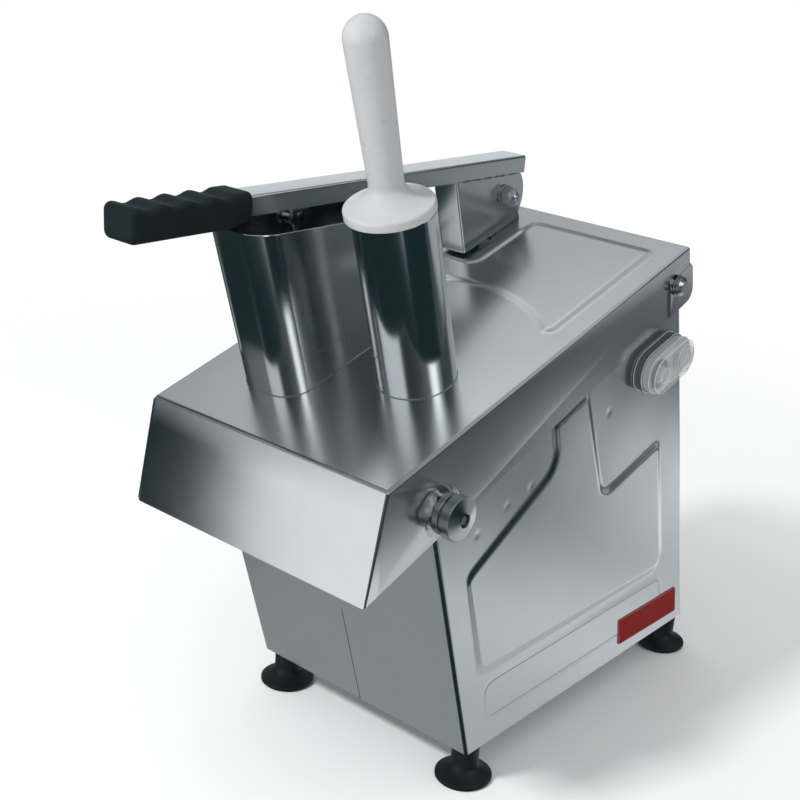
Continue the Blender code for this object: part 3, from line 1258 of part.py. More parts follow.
def make_grip(rubber):
    """The moulded grip: flat underside and finger grooves on top. The bar slides into its socket."""
    half = GRIP_WIDTH / 2
    low = BAR_ABOVE_PIVOT - GRIP_DROP
    crest = low + GRIP_HEIGHT
    front, rear = -GRIP_FRONT, -GRIP_FRONT + GRIP_LENGTH
    top = [(rear, crest)]
    for k in range(FINGERS * 6, -1, -1):
        y = front + GRIP_ROUND + FINGER_PITCH * k / 6
        top.append((y, crest - FINGER_DEPTH * math.sin(math.pi * k / 6) ** 2))
    outline = [(front + GRIP_ROUND, low), (rear, low)] + top + [(front, crest - GRIP_ROUND),
            (front, low + GRIP_ROUND)]
    mesh = prism(outline, -half, half, "u")
    rim = lambda e: level_in_u(e) and any(v.co.y < rear - 1e-6 for v in e.verts)
    grip = add("lever_grip", bevel_where(mesh, GRIP_ROUND, rim), rubber, LEVER_PIVOT)
    reach = BAR_WIDTH / 2 + GAP
    socket = box((-reach, -BAR_FRONT - GAP, BAR_ABOVE_PIVOT - GAP),
                 (reach, FAR, BAR_ABOVE_PIVOT + BAR_HEIGHT + GAP))
    cut(grip, socket, "socket")


def make_pivot(steel):
    """Bolt, washer and domed nut that hold the lever in its stand."""
    half = BAR_WIDTH / 2 + GAP
    nut = half + HINGE_WASHER + GAP
    at = (0, 0, 0)
    head = PIVOT_RADIUS + 3.5 * MM
    profile = [(0, nut + 5 * MM), (PIVOT_RADIUS, nut + 5 * MM), (PIVOT_RADIUS, -half), (head, -half),
               (head, -half - 3.5 * MM),
               (head - 2 * MM, -half - 5 * MM), (0, -half - 5 * MM)]
    add("pivot_bolt", turned(profile, at, axis="u"), steel, LEVER_PIVOT)
    washer = ring(PIVOT_RADIUS + 4.5 * MM, PIVOT_RADIUS + GAP, half, half + HINGE_WASHER, at, "u")
    add("pivot_washer", washer, steel, LEVER_PIVOT)
    cap = add("pivot_nut", hexagon(PIVOT_RADIUS + 3.2 * MM, nut, nut + 6 * MM, at), steel, LEVER_PIVOT)
    dome = PIVOT_RADIUS + 1 * MM
    profile = [(0, nut + 11.5 * MM)] + [(x, nut + 5.5 * MM + y) for x,
                                        y in arc((0, 0), dome, 60, 0, 2)] + [(dome, nut + 1 * MM),
                                                (0, nut + 1 * MM)]
    join(cap, turned(profile, at, axis="u"), "dome")
    cut(cap, cylinder(PIVOT_RADIUS + GAP, nut - THROUGH, nut + 5 * MM + GAP, at, "u"), "thread")


# Pusher, drawn about its pin

def make_pusher(steel):
    """The press in the half-moon hopper: a pin in the lever's lugs, a rod with an eye, and a plate."""
    pin_y, pin_z = level_from_pivot(PUSHER_PIN_V, PUSHER_PIN_N)
    reach = PUSHER_ROD_RADIUS + GAP + LUG_SHEET + 1 * MM
    add("pusher_pin", cylinder(PUSHER_PIN_RADIUS, -reach, reach, (0, pin_y, pin_z), "u"), steel,
        LEVER_PIVOT)

    at = (0, 0, 0)
    low = -PUSHER_LENGTH + PUSHER_PLATE + GAP
    rod = add("pusher_rod", cylinder(PUSHER_ROD_RADIUS, low, -PUSHER_PIN_RADIUS, at), steel, PUSHER_HINGE)
    join(rod, cylinder(PUSHER_EYE_RADIUS, -PUSHER_ROD_RADIUS, PUSHER_ROD_RADIUS, at, "u"), "eye")
    foot = [(0, low + 9 * MM), (PUSHER_ROD_RADIUS + 1 * MM, low + 9 * MM),
            (PUSHER_FOOT_RADIUS, low + 3 * MM), (PUSHER_FOOT_RADIUS, low), (0, low)]
    join(rod, turned(foot, at), "foot")
    cut(rod, cylinder(PUSHER_PIN_RADIUS + GAP, -PUSHER_EYE_RADIUS, PUSHER_EYE_RADIUS, at, "u"), "bore")

    side = HOPPER_INNER_SIDE - HOPPER_WALL - PUSHER_SIDE_GAP
    radius = HOPPER_ARC_RADIUS - HOPPER_WALL - PUSHER_ARC_GAP
    outline = half_moon(side, radius, DISC_CENTRE - PUSHER_HALF_LENGTH, DISC_CENTRE + PUSHER_HALF_LENGTH,
                        HOPPER_CORNER - 3 * MM, 4)
    drawn = [(u - LEVER_U, v - DISC_CENTRE) for u, v in outline]
    add("pusher_plate", prism(drawn, -PUSHER_LENGTH, -PUSHER_LENGTH + PUSHER_PLATE), steel, PUSHER_HINGE)


# Assembly

clear_scene()

KNOB_FACE = COVER_HALF + BOSS_HEIGHT + GAP + KNOB_LENGTH
SWITCH_FACE = switch_levels()["boot_top"] + STOP_DOME
HINGE_FACE = COVER_HALF + PAD_HEIGHT + 2 * GAP + HINGE_WASHER + HINGE_HEAD
LEFT_FACE = max(HINGE_FACE, BODY_HALF - FOOT_INSET_SIDE + FOOT_RADIUS)
PIVOT_WORLD = lean_to_world(0, PIVOT_V, PIVOT_N)
FRONT_Y = PIVOT_WORLD.y - GRIP_FRONT
REAR_Y = foot_places()["foot_rear_right"][1] + FOOT_RADIUS
ORIGIN = Vector((-(max(KNOB_FACE, SWITCH_FACE) - LEFT_FACE) / 2, -(FRONT_Y + REAR_Y) / 2, 0))

MACHINE = empty("machine", None, ORIGIN)
LEAN_FRAME = empty("lean_frame", MACHINE, (0, 0, CREST_HEIGHT), LEAN)
COVER_HINGE = empty("cover_hinge_axis", LEAN_FRAME, (0, HINGE_V, HINGE_N))
PESTLE_SLIDE = empty("pestle_axis", LEAN_FRAME,
                     (TUBE_CENTRE_U - PESTLE_SHIFT, DISC_CENTRE - PESTLE_SHIFT, 0))
LEVER_PIVOT = empty("lever_axis", LEAN_FRAME, (LEVER_U, PIVOT_V, PIVOT_N), -LEAN)
PUSHER_HINGE = empty("pusher_axis", LEAN_FRAME, (LEVER_U, PUSHER_PIN_V, PUSHER_PIN_N), PUSHER_LEAN)
SPINDLE = empty("spindle_axis", LEAN_FRAME, (0, DISC_CENTRE, 0))
MOTOR_SPIN = empty("motor_axis", LEAN_FRAME, (0, MOTOR_CENTRE, 0))
KNOB_TURN = empty("knob_axis", LEAN_FRAME, (0, KNOB_V, KNOB_N))
START_SLIDE = empty("start_axis", LEAN_FRAME, (0, SWITCH_V, SWITCH_N))
STOP_SLIDE = empty("stop_axis", LEAN_FRAME, (0, SWITCH_V + SWITCH_PITCH, SWITCH_N))

STEEL = material("brushed_steel", (0.62, 0.64, 0.65), 0.32, 1.0)
POLISHED = material("polished_steel", (0.68, 0.70, 0.71), 0.12, 1.0)
ALUMINIUM = material("cast_aluminium", (0.72, 0.73, 0.74), 0.38, 1.0)
RUBBER = material("black_rubber", (0.025, 0.027, 0.03), 0.62)
GRIP_RUBBER = material("grip_rubber", (0.022, 0.028, 0.032), 0.5)
WHITE = material("white_plastic", (0.86, 0.86, 0.85), 0.4)
GASKET = material("gasket_rubber", (0.10, 0.13, 0.14), 0.6)
FRAME_GREY = material("frame_plastic", (0.62, 0.65, 0.67), 0.4)
CLEAR = material("clear_silicone", (0.82, 0.84, 0.85), 0.2, 0.0, 0.45)
BUTTON = material("button_plastic", (0.60, 0.63, 0.64), 0.4)
PAINT = material("motor_paint", (0.18, 0.20, 0.22), 0.5)
PLASTIC = material("black_plastic", (0.05, 0.05, 0.055), 0.5)

make_housing(STEEL)
make_base_plate(STEEL)
make_feet(RUBBER)
make_chamber_tray(STEEL)
make_bearing_housing(ALUMINIUM, POLISHED, RUBBER)
make_spindle(POLISHED, ALUMINIUM, WHITE)
make_belt(RUBBER)
make_motor(PAINT, POLISHED, ALUMINIUM)
make_electrics(PLASTIC)
make_gland(PLASTIC)
make_switch(GASKET, FRAME_GREY, CLEAR, BUTTON, PLASTIC)
make_knob(POLISHED)
make_hinge(POLISHED)
make_cover(STEEL)
make_hopper(POLISHED)
make_pestle(WHITE)
make_bracket(STEEL)
make_lever_bar(STEEL)
make_cheek_box(STEEL)
make_grip(GRIP_RUBBER)
make_pivot(POLISHED)
make_pusher(POLISHED)
make_interlock(PLASTIC)
bpy.context.view_layer.update()
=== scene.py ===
"""Looks of the vegetable cutter: materials, fine pieces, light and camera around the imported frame."""

import math
import random

import bmesh
import bpy
from mathutils import Matrix, Vector
from mathutils.kdtree import KDTree


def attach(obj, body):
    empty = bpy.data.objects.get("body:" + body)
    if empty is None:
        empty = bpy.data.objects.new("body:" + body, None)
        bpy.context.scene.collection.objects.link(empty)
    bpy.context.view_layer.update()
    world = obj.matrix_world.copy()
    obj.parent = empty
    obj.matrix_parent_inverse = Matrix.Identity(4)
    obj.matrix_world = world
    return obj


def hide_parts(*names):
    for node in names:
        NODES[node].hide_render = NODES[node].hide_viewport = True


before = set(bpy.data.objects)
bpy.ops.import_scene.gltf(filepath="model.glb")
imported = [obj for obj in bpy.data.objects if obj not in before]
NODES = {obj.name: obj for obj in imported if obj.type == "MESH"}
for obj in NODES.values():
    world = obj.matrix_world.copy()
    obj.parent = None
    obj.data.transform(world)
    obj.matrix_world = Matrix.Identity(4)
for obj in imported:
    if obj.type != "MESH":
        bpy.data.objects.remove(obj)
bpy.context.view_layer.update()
MM = 0.001

# The lean frame of the cover: u across, v up the slope, n out of the cover
LEAN = math.radians(17.3)
ORIGIN = Vector((-0.0067, -0.19296, 0.292))
LEAN_FRAME = Matrix.Translation(ORIGIN) @ Matrix.Rotation(LEAN, 4, "X")
PIVOT = LEAN_FRAME @ (Vector((-51.5, 331.0, 28.8)) * MM)
LEVEL_FRAME = Matrix.Translation(PIVOT)

# Main sizes in millimetres
DISC_CENTRE, DISC_RADIUS = 114.3, 102.5
COVER_HALF, COVER_LENGTH = 113.0, 370.0
HOOD_REACH, HOOD_DEPTH = 38.5, 70.0
BODY_HALF, BODY_FRONT, BODY_REAR, BODY_CLEARANCE = 111.2, 38.1, 356.7, 32.4
KNOB_V, KNOB_N = 46.0, -46.0
SWITCH_V, SWITCH_N, SWITCH_PITCH = 301.5, -77.0, 29.5
TUBE_U, TUBE_RADIUS, TUBE_WALL, TUBE_HEIGHT = 42.2, 29.0, 1.5, 128.0
HOPPER_SIDE, HOPPER_ARC, HOPPER_HALF, HOPPER_CORNER = -15.0, 92.5, 70.0, 20.0
HOPPER_WALL, HOPPER_GAP = 1.5, 1.0
BAR_LOW, BAR_HALF_WIDTH = 17.0, 12.5
GRIP_FRONT, GRIP_LENGTH, GRIP_HALF_WIDTH = 387.5, 103.0, 14.75
GRIP_LOW, GRIP_TOP, GRIP_CREST = 10.5, 32.8, 0.9


# Node helpers

class Tree:
    """A material's node tree, built by short calls."""

    def __init__(self, name):
        self.material = bpy.data.materials.new(name)
        self.material.use_nodes = True
        self.nodes = self.material.node_tree.nodes
        self.links = self.material.node_tree.links
        self.shader = self.nodes["Principled BSDF"]
        self.output = self.nodes["Material Output"]
        self.place = self.nodes.new("ShaderNodeTexCoord").outputs["Object"]

    def add(self, kind, **settings):
        node = self.nodes.new("ShaderNode" + kind)
        for key, value in settings.items():
            setattr(node, key, value)
        return node

    def put(self, node, socket, value):
        target = node.inputs[socket]
        if isinstance(value, bpy.types.NodeSocket):
            self.links.new(value, target)
        else:
            target.default_value = value

    def spread(self, vector, scale):
        node = self.add("Mapping")
        self.put(node, "Vector", vector)
        self.put(node, "Scale", scale)
        return node.outputs[0]

    def noise(self, scale, detail=2.0, stretch=None, roughness=0.5):
        node = self.add("TexNoise")
        self.put(node, "Vector", self.spread(self.place, stretch) if stretch else self.place)
        self.put(node, "Scale", scale)
        self.put(node, "Detail", detail)
        self.put(node, "Roughness", roughness)
        return node.outputs["Fac"]

    def ramp(self, value, low, high, to_low=0.0, to_high=1.0):
        node = self.add("MapRange", clamp=True)
        for socket, number in zip(("Value", "From Min", "From Max", "To Min", "To Max"),
                                  (value, low, high, to_low, to_high)):
            self.put(node, socket, number)
        return node.outputs[0]

    def mix(self, factor, one, two):
        node = self.add("Mix", data_type="RGBA")
        self.put(node, 0, factor)
        self.put(node, 6, (*one, 1) if isinstance(one, tuple) and len(one) == 3 else one)
        self.put(node, 7, (*two, 1) if isinstance(two, tuple) and len(two) == 3 else two)
        return node.outputs[2]

    def math(self, operation, one, two=0.0):
        node = self.add("Math", operation=operation)
        self.put(node, 0, one)
        self.put(node, 1, two)
        return node.outputs[0]

    def bump(self, height, strength, distance, normal=None):
        node = self.add("Bump")
        self.put(node, "Height", height)
        self.put(node, "Strength", strength)
        self.put(node, "Distance", distance)
        if normal:
            self.put(node, "Normal", normal)
        return node.outputs[0]

    def set(self, **values):
        for key, value in values.items():
            self.put(self.shader, key.replace("_", " ").title().replace("Ior", "IOR"), value)


def steel(name, colour, rough, grain=0.25, wave=0.0, stretch=(1, 1, 1), front_rough=None,
          side_rough=None):
    """Stainless steel: fine grain, slow stains in its gloss, and the faint waves of a rolled sheet.

    front_rough is for the hood in front of the cover's crease, and side_rough for its two flanges.
    """
    tree = Tree(name)
    fine = tree.noise(2600, 2, stretch)
    slow = tree.noise(14, 4)
    cloud = tree.noise(60, 5, roughness=0.65)
    darker = tuple(c * 0.98 for c in colour)
    tree.set(metallic=1.0, base_color=tree.mix(tree.ramp(cloud, 0.35, 0.65), darker, colour))
    gloss = tree.math("ADD", tree.ramp(slow, 0.3, 0.7, rough * 0.95, rough * 1.05),
                      tree.ramp(fine, 0.2, 0.8, -grain * 0.06, grain * 0.06))
    if front_rough is not None:
        split = tree.add("SeparateXYZ")
        tree.put(split, 0, tree.place)
        hood = tree.ramp(split.outputs["Y"], ORIGIN.y - 0.004, ORIGIN.y, front_rough - rough, 0)
        out = tree.math("ABSOLUTE", tree.math("SUBTRACT", split.outputs["X"], ORIGIN.x))
        flange = tree.ramp(out, (COVER_HALF - 1.0) * MM, (COVER_HALF - 0.4) * MM, 0, side_rough - rough)
        gloss = tree.math("ADD", gloss, tree.math("MINIMUM", hood, flange))
    tree.set(roughness=gloss)
    normal = tree.bump(fine, grain, 0.00002)
    if wave:
        normal = tree.bump(tree.noise(7, 1), wave, 0.004, normal)
    tree.set(normal=normal)
    return tree.material


def moulded(name, colour, rough, grain=0.3, scale=900, mottle=0.12, **more):
    """Moulded plastic or rubber with a fine skin and slightly uneven colour."""
    tree = Tree(name)
    skin = tree.noise(scale, 3)
    cloud = tree.noise(45, 4)
    darker = tuple(c * (1 - mottle) for c in colour)
    tree.set(base_color=tree.mix(tree.ramp(cloud, 0.3, 0.7), darker, colour),
             roughness=tree.ramp(cloud, 0.3, 0.7, rough * 0.85, rough * 1.1),
             normal=tree.bump(skin, grain, 0.00006), **more)
    return tree.material


SATIN = steel("satin_steel", (0.67, 0.68, 0.69), 0.23, grain=0.10, wave=0.03, front_rough=0.10,
              side_rough=0.19)
HOPPER = steel("drawn_hopper_steel", (0.68, 0.70, 0.71), 0.17, grain=0.02, wave=0.03)
SATIN_BODY = steel("satin_body_steel", (0.67, 0.68, 0.69), 0.21, grain=0.12, wave=0.05)
KNOB = steel("knob_steel", (0.68, 0.70, 0.71), 0.24, grain=0.08)
DIM = steel("dim_steel", (0.22, 0.25, 0.26), 0.35, grain=0.3)
BRIGHT = steel("bright_steel", (0.70, 0.73, 0.74), 0.12, grain=0.02, wave=0.03)
DRAWN = steel("drawn_steel", (0.66, 0.69, 0.70), 0.22, grain=0.08, stretch=(8, 0.4, 8))
TURNED = steel("turned_steel", (0.64, 0.66, 0.67), 0.30, grain=0.2)
# Dark steel for the body front's joint, and for painted shade in the hood's corner creases.
DARK_JOINT_AND_CREASE_SHADE = steel("joint_and_crease_shade_steel", (0.10, 0.12, 0.13), 0.5, grain=0.3)
WELD = steel("weld_steel", (0.45, 0.48, 0.49), 0.35, grain=0.8)
CAST = steel("cast_aluminium", (0.55, 0.56, 0.57), 0.42, grain=0.9)
RUBBER = moulded("foot_rubber", (0.006, 0.009, 0.010), 0.50, grain=0.4)
GRIP = moulded("grip_rubber", (0.007, 0.015, 0.017), 0.62, grain=0.35, scale=1400, specular_ior_level=0.3)
WHITE = moulded("milky_plastic", (0.50, 0.51, 0.51), 0.30, grain=0.12, mottle=0.04)
GASKET = moulded("gasket_rubber", (0.10, 0.125, 0.13), 0.45)
# A very dark plastic that stands for painted shade in the recess round the start button.
RECESS_SHADE = moulded("recess_painted_shade", (0.022, 0.032, 0.035), 0.45)
FRAME = moulded("frame_plastic", (0.50, 0.53, 0.54), 0.3, mottle=0.05)
BUTTON = moulded("button_plastic", (0.36, 0.39, 0.40), 0.35, mottle=0.05)
PAINT = moulded("motor_paint", (0.08, 0.09, 0.10), 0.4, mottle=0.08)
PLASTIC = moulded("black_plastic", (0.015, 0.015, 0.016), 0.4)
LABEL = moulded("label_red", (0.26, 0.007, 0.005), 0.4, grain=0.1, mottle=0.08, specular_ior_level=0.04)
LABEL_EDGE = moulded("label_edge", (0.42, 0.16, 0.14), 0.3, grain=0.1)

boot = Tree("clear_silicone")
haze = boot.ramp(boot.noise(120, 3), 0.3, 0.7)
boot.set(base_color=boot.mix(haze, (0.80, 0.83, 0.84), (0.88, 0.90, 0.91)),
         roughness=boot.ramp(boot.noise(200, 3), 0.3, 0.7, 0.10, 0.2), transmission_weight=0.5, ior=1.2,
         alpha=0.30, normal=boot.bump(boot.noise(500, 2), 0.1, 0.0001))
BOOT = boot.material
# Light plastic for lines that stand for painted highlights on the clear boot's edges.
BOOT_EDGE_HIGHLIGHT = moulded("clear_edge_highlight", (0.66, 0.69, 0.70), 0.2, mottle=0.05)


def turn_marks(look, axis, strength):
    """Fine marks of a lathe about this axis, which draw a highlight out into a fan."""
    shader = look.node_tree.nodes["Principled BSDF"]
    marks = look.node_tree.nodes.new("ShaderNodeTangent")
    marks.direction_type, marks.axis = "RADIAL", axis
    look.node_tree.links.new(marks.outputs[0], shader.inputs["Tangent"])
    shader.inputs["Anisotropic"].default_value = strength


turn_marks(KNOB, "X", 0.85)

LOOKS = {
    SATIN: "cover chamber_tray base_plate",
    SATIN_BODY: "housing",
    BRIGHT: "hopper round_tube drive_shaft motor_shaft pusher_rod pusher_plate pusher_pin lever_bracket",
    DIM: "knob_stud",
    DRAWN: "lever_bar cheek_box cutting_disc blade capacitor",
    TURNED: "clamp_knob pivot_bolt pivot_washer pivot_nut hinge_bolt_left hinge_bolt_right "
            "hinge_washer_left hinge_washer_right hinge_nut_left hinge_nut_right drive_pin "
            "blade_screw_1 blade_screw_2 upper_bearing lower_bearing",
    CAST: "bearing_housing driven_pulley motor_pulley motor_mount",
    RUBBER: "foot_front_left foot_front_right foot_rear_left foot_rear_right drive_belt shaft_seal",
    GRIP: "lever_grip",
    WHITE: "pestle ejector_disc",
    GASKET: "switch_gasket",
    FRAME: "switch_frame",
    BOOT: "switch_boot",
    BUTTON: "start_button stop_button",
    PAINT: "motor",
    PLASTIC: "control_box contact_block cable_gland gland_nut interlock_sensor interlock_magnet",
}


def smoothing(angle):
    """A modifier tree that welds the frame's split corners and shades its soft edges smooth."""
    group = bpy.data.node_groups.new(f"smooth_{angle}", "GeometryNodeTree")
    group.interface.new_socket("Geometry", in_out="INPUT", socket_type="NodeSocketGeometry")
    group.interface.new_socket("Geometry", in_out="OUTPUT", socket_type="NodeSocketGeometry")
    new, link = group.nodes.new, group.links.new
    start, end = new("NodeGroupInput"), new("NodeGroupOutput")
    weld = new("GeometryNodeMergeByDistance")
    weld.inputs["Distance"].default_value = 0.00001
    faces = new("GeometryNodeSetShadeSmooth")
    edges = new("GeometryNodeSetShadeSmooth")
    edges.domain = "EDGE"
    edges.inputs["Shade Smooth"].default_value = False
    turn = new("GeometryNodeInputMeshEdgeAngle")
    compare = new("FunctionNodeCompare")
    compare.inputs[1].default_value = math.radians(angle)
    link(start.outputs[0], weld.inputs[0])
    link(weld.outputs[0], faces.inputs[0])
    link(faces.outputs[0], edges.inputs[0])
    link(turn.outputs["Unsigned Angle"], compare.inputs[0])
    link(compare.outputs[0], edges.inputs["Selection"])
    link(edges.outputs[0], end.inputs[0])
    return group


SMOOTH = smoothing(38)


def soften(obj):
    if "custom_normal" in obj.data.attributes:
        obj.data.attributes.remove(obj.data.attributes["custom_normal"])
    obj.modifiers.new("smooth", "NODES").node_group = SMOOTH
    weighted = obj.modifiers.new("weighted", "WEIGHTED_NORMAL")
    weighted.keep_sharp = True


for look, names in LOOKS.items():
    for name in names.split():
        node = NODES[name]
        node.data.materials.clear()
        node.data.materials.append(look)
        soften(node)


# Piece helpers

def piece(name, mesh, look, body, matrix=None, smooth=35.0):
    """A new object from a bmesh, riding on a body."""
    bmesh.ops.recalc_face_normals(mesh, faces=mesh.faces)
    data = bpy.data.meshes.new(name)
    mesh.to_mesh(data)
    mesh.free()
    if matrix:
        data.transform(matrix)
    if "custom_normal" in data.attributes:
        data.attributes.remove(data.attributes["custom_normal"])
    data.shade_smooth()
    data.set_sharp_from_angle(angle=math.radians(smooth))
    data.materials.clear()
    data.materials.append(look)
    made = bpy.data.objects.new(name, data)
    bpy.context.scene.collection.objects.link(made)
    weighted = made.modifiers.new("weighted", "WEIGHTED_NORMAL")
    weighted.keep_sharp = True
    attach(made, body)
    return made


def turned(profile, steps=96, closed=False, axis="n"):
    """A bmesh turned about an axis from (radius, height) points in millimetres."""
    mesh = bmesh.new()
    rings = []
    for radius, height in profile:
        if radius < 1e-6:
            rings.append([mesh.verts.new((0, 0, height * MM))] * steps)
            continue
        rings.append([mesh.verts.new((radius * MM * math.cos(math.tau * k / steps),
                                      radius * MM * math.sin(math.tau * k / steps), height * MM))
                      for k in range(steps)])
    pairs = list(zip(rings, rings[1:]))
    if closed:
        pairs.append((rings[-1], rings[0]))
    for one, two in pairs:
        for k in range(steps):
            j = (k + 1) % steps
            corners = []
            for vert in (one[k], one[j], two[j], two[k]):
                if vert not in corners:
                    corners.append(vert)
            if len(corners) > 2:
                mesh.faces.new(corners)
    if axis == "u":
        bmesh.ops.rotate(mesh, verts=mesh.verts, matrix=Matrix.Rotation(math.pi / 2, 3, "Y"))
    return mesh


def lean_at(u, v, n):
    """Matrix that puts a mesh drawn about zero at this point of the lean frame."""
    return LEAN_FRAME @ Matrix.Translation(Vector((u, v, n)) * MM)


def arc(centre, radius, start, end, steps):
    points = []
    for k in range(steps + 1):
        a = math.radians(start + (end - start) * k / steps)
        points.append((centre[0] + radius * math.cos(a), centre[1] + radius * math.sin(a)))
    return points


def tube_along(points, radius, steps=8, closed=False, wobble=0.0):
    """A bmesh tube along points, whose radius may wander like a hand-laid bead."""
    draw = random.Random(1)
    mesh = bmesh.new()
    count = len(points)
    rings = []
    for k, here in enumerate(points):
        before = points[k - 1] if closed or k else here
        after = points[(k + 1) % count] if closed or k < count - 1 else here
        along = (after - before).normalized()
        side = along.cross(Vector((0.3, 0.2, 1))).normalized()
        up = side.cross(along)
        r = radius * (1 + wobble * (draw.random() - 0.5) * 2)
        turns = [math.tau * s / steps for s in range(steps)]
        rings.append([mesh.verts.new(here + (side * math.cos(a) + up * math.sin(a)) * r) for a in turns])
    pairs = list(zip(rings, rings[1:]))
    if closed:
        pairs.append((rings[-1], rings[0]))
    for one, two in pairs:
        for s in range(steps):
            t = (s + 1) % steps
            mesh.faces.new((one[s], one[t], two[t], two[s]))
    if not closed:
        mesh.faces.new(rings[0])
        mesh.faces.new(rings[-1])
    return mesh


# Tubes

rim = TUBE_RADIUS - TUBE_WALL / 2
profile = [(TUBE_RADIUS, 0.3), (TUBE_RADIUS, TUBE_HEIGHT - 0.5), (TUBE_RADIUS - 0.25, TUBE_HEIGHT - 0.1),
           (rim, TUBE_HEIGHT), (TUBE_RADIUS - TUBE_WALL + 0.25, TUBE_HEIGHT - 0.1),
           (TUBE_RADIUS - TUBE_WALL, TUBE_HEIGHT - 0.5), (TUBE_RADIUS - TUBE_WALL, 0.3)]
tube = piece("feed_tube", turned(profile, 160, closed=True), BRIGHT, "cover_unit",
             lean_at(TUBE_U, DISC_CENTRE, 0))
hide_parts("round_tube")


def half_moon(offset, steps):
    """The hopper's outline about the disc's centre, moved out by offset, in millimetres."""
    inner_side, arc_radius = HOPPER_SIDE + offset, HOPPER_ARC + offset
    half, corner = HOPPER_HALF + offset, HOPPER_CORNER + offset
    reach = arc_radius - corner
    du = math.sqrt(reach ** 2 - (half - corner) ** 2)
    turn = math.degrees(math.atan2(half - corner, du))
    low, high = -half + corner, half - corner
    points = arc((inner_side - corner, high), corner, 0, 90, steps)
    points += arc((-du, high), corner, 90, 180 - turn, steps)
    points += arc((0, 0), arc_radius, 180 - turn, 180 + turn, 3 * steps)[1:-1]
    points += arc((-du, low), corner, 180 + turn, 270, steps)
    return points + arc((inner_side - corner, low), corner, -90, 0, steps)


HOPPER_RIM = PIVOT.z + (GRIP_LOW - HOPPER_GAP) * MM


def hopper_mesh():
    """The half-moon tube: outside, eased rim and inside, cut off level at the top."""
    foot, wall = 0.3, HOPPER_WALL
    ease = ((0.0, -0.6), (0.3, -0.12), (wall / 2, 0.0), (wall - 0.3, -0.12), (wall, -0.6))
    mesh = bmesh.new()
    rings = []
    for shrink, height in ((0.0, None), *ease, (wall, None)):
        ring = []
        for u, v in half_moon(-shrink, 12):
            if height is None:
                n = foot
            else:
                rise = (HOPPER_RIM - ORIGIN.z) / MM - (v + DISC_CENTRE) * math.sin(LEAN)
                n = rise / math.cos(LEAN) + height
            ring.append(mesh.verts.new(Vector((u, v + DISC_CENTRE, n)) * MM))
        rings.append(ring)
    count = len(rings[0])
    for one, two in zip(rings, rings[1:] + rings[:1]):
        for k in range(count):
            j = (k + 1) % count
            mesh.faces.new((one[k], one[j], two[j], two[k]))
    return mesh


hopper = piece("feed_hopper", hopper_mesh(), HOPPER, "cover_unit", LEAN_FRAME)
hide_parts("hopper")

BEAD_OUT, BEAD_UP, BEAD_RADIUS = 0.15, 0.25, 0.35
ring = [(TUBE_U + u, v) for u, v in arc((0, 0), TUBE_RADIUS + BEAD_OUT, 0, 357, 119)]
for name, outline in (("tube_weld", ring), ("hopper_weld", half_moon(BEAD_OUT, 10))):
    bead = [LEAN_FRAME @ (Vector((u, DISC_CENTRE + v, BEAD_UP)) * MM) for u, v in outline]
    piece(name, tube_along(bead, BEAD_RADIUS * MM, 6, closed=True, wobble=0.15), WELD, "cover_unit")


# Pestle

def pestle_mesh():
    seat, flange, neck_height, crown = 128.3, 7.0, 15.0, 257.0
    head_radius, neck_radius, rim = 14.3, 11.9, 31.2
    top = seat + flange
    neck = top + neck_height
    profile = [(0, crown)] + arc((0, crown - head_radius), head_radius, 84, 0, 12)
    low = crown - head_radius
    for k in range(1, 13):
        t = k / 12
        profile.append((head_radius + (neck_radius - head_radius) * t, low + (neck - low) * t))
    for k in range(1, 13):
        t = k / 12
        out, down = t ** 1.9, t ** 0.75
        profile.append((neck_radius + (rim - 6 - neck_radius) * out, neck + (top + 1.2 - neck) * down))
    profile += arc((rim - 2.2, top - 2.2), 2.2, 80, 0, 6) + arc((rim - 0.8, seat + 0.8), 0.8, 0, -90, 3)
    profile += [(25.4, seat), (25.0, seat - 0.5), (25.0, 8.5)]
    profile += arc((22.8, 8.2), 2.2, 0, -90, 4) + [(0, 6.0)]
    return turned(profile, 128)


pestle = piece("pestle_turned", pestle_mesh(), WHITE, "pestle",
               lean_at(TUBE_U - 1.4, DISC_CENTRE - 1.4, 0), smooth=50)
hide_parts("pestle")


# Pressed sheets: dense copies of the cover and the body whose fields have soft slopes

def fillet(corners, steps=8):
    """An outline's points, from (x, y, radius) corners in anticlockwise order."""
    points = []
    for k, (x, y, radius) in enumerate(corners):
        here = Vector((x, y))
        back = (Vector(corners[k - 1][:2]) - here).normalized()
        on = (Vector(corners[(k + 1) % len(corners)][:2]) - here).normalized()
        half = back.angle(on) / 2
        middle = here + (back + on).normalized() * radius / math.sin(half)
        start = here + back * radius / math.tan(half) - middle
        end = here + on * radius / math.tan(half) - middle
        sweep = start.angle_signed(end)
        for s in range(steps + 1):
            turned_spoke = Matrix.Rotation(-sweep * s / steps, 2) @ start
            points.append(tuple(middle + turned_spoke))
    return points


def depth_in(outline, spacing=0.8):
    """A function that gives how deep a point lies inside an anticlockwise outline."""
    samples = []
    for (x, y), (nx, ny) in zip(outline, outline[1:] + outline[:1]):
        along = Vector((nx - x, ny - y))
        if along.length < 1e-6:
            continue
        inward = Vector((-along.y, along.x)).normalized()
        count = max(1, round(along.length / spacing))
        for k in range(count):
            samples.append((Vector((x, y)) + along * (k + 0.5) / count, inward))
    tree = KDTree(len(samples))
    for k, (place, inward) in enumerate(samples):
        tree.insert((place.x, place.y, 0), k)
    tree.balance()

    def depth(x, y):
        near, k, distance = tree.find((x, y, 0))
        side = Vector((x - near.x, y - near.y)).dot(samples[k][1])
        return math.copysign(distance, side)

    return depth


def soft_step(value, width):
    t = min(max(value / width, 0.0), 1.0)
    return t * t * t * (t * (6 * t - 15) + 10)


def n_at_height(v, height):
    """n of the lean-frame point at v that stands this high above the floor."""
    return (height - ORIGIN.z / MM - v * math.sin(LEAN)) / math.cos(LEAN)


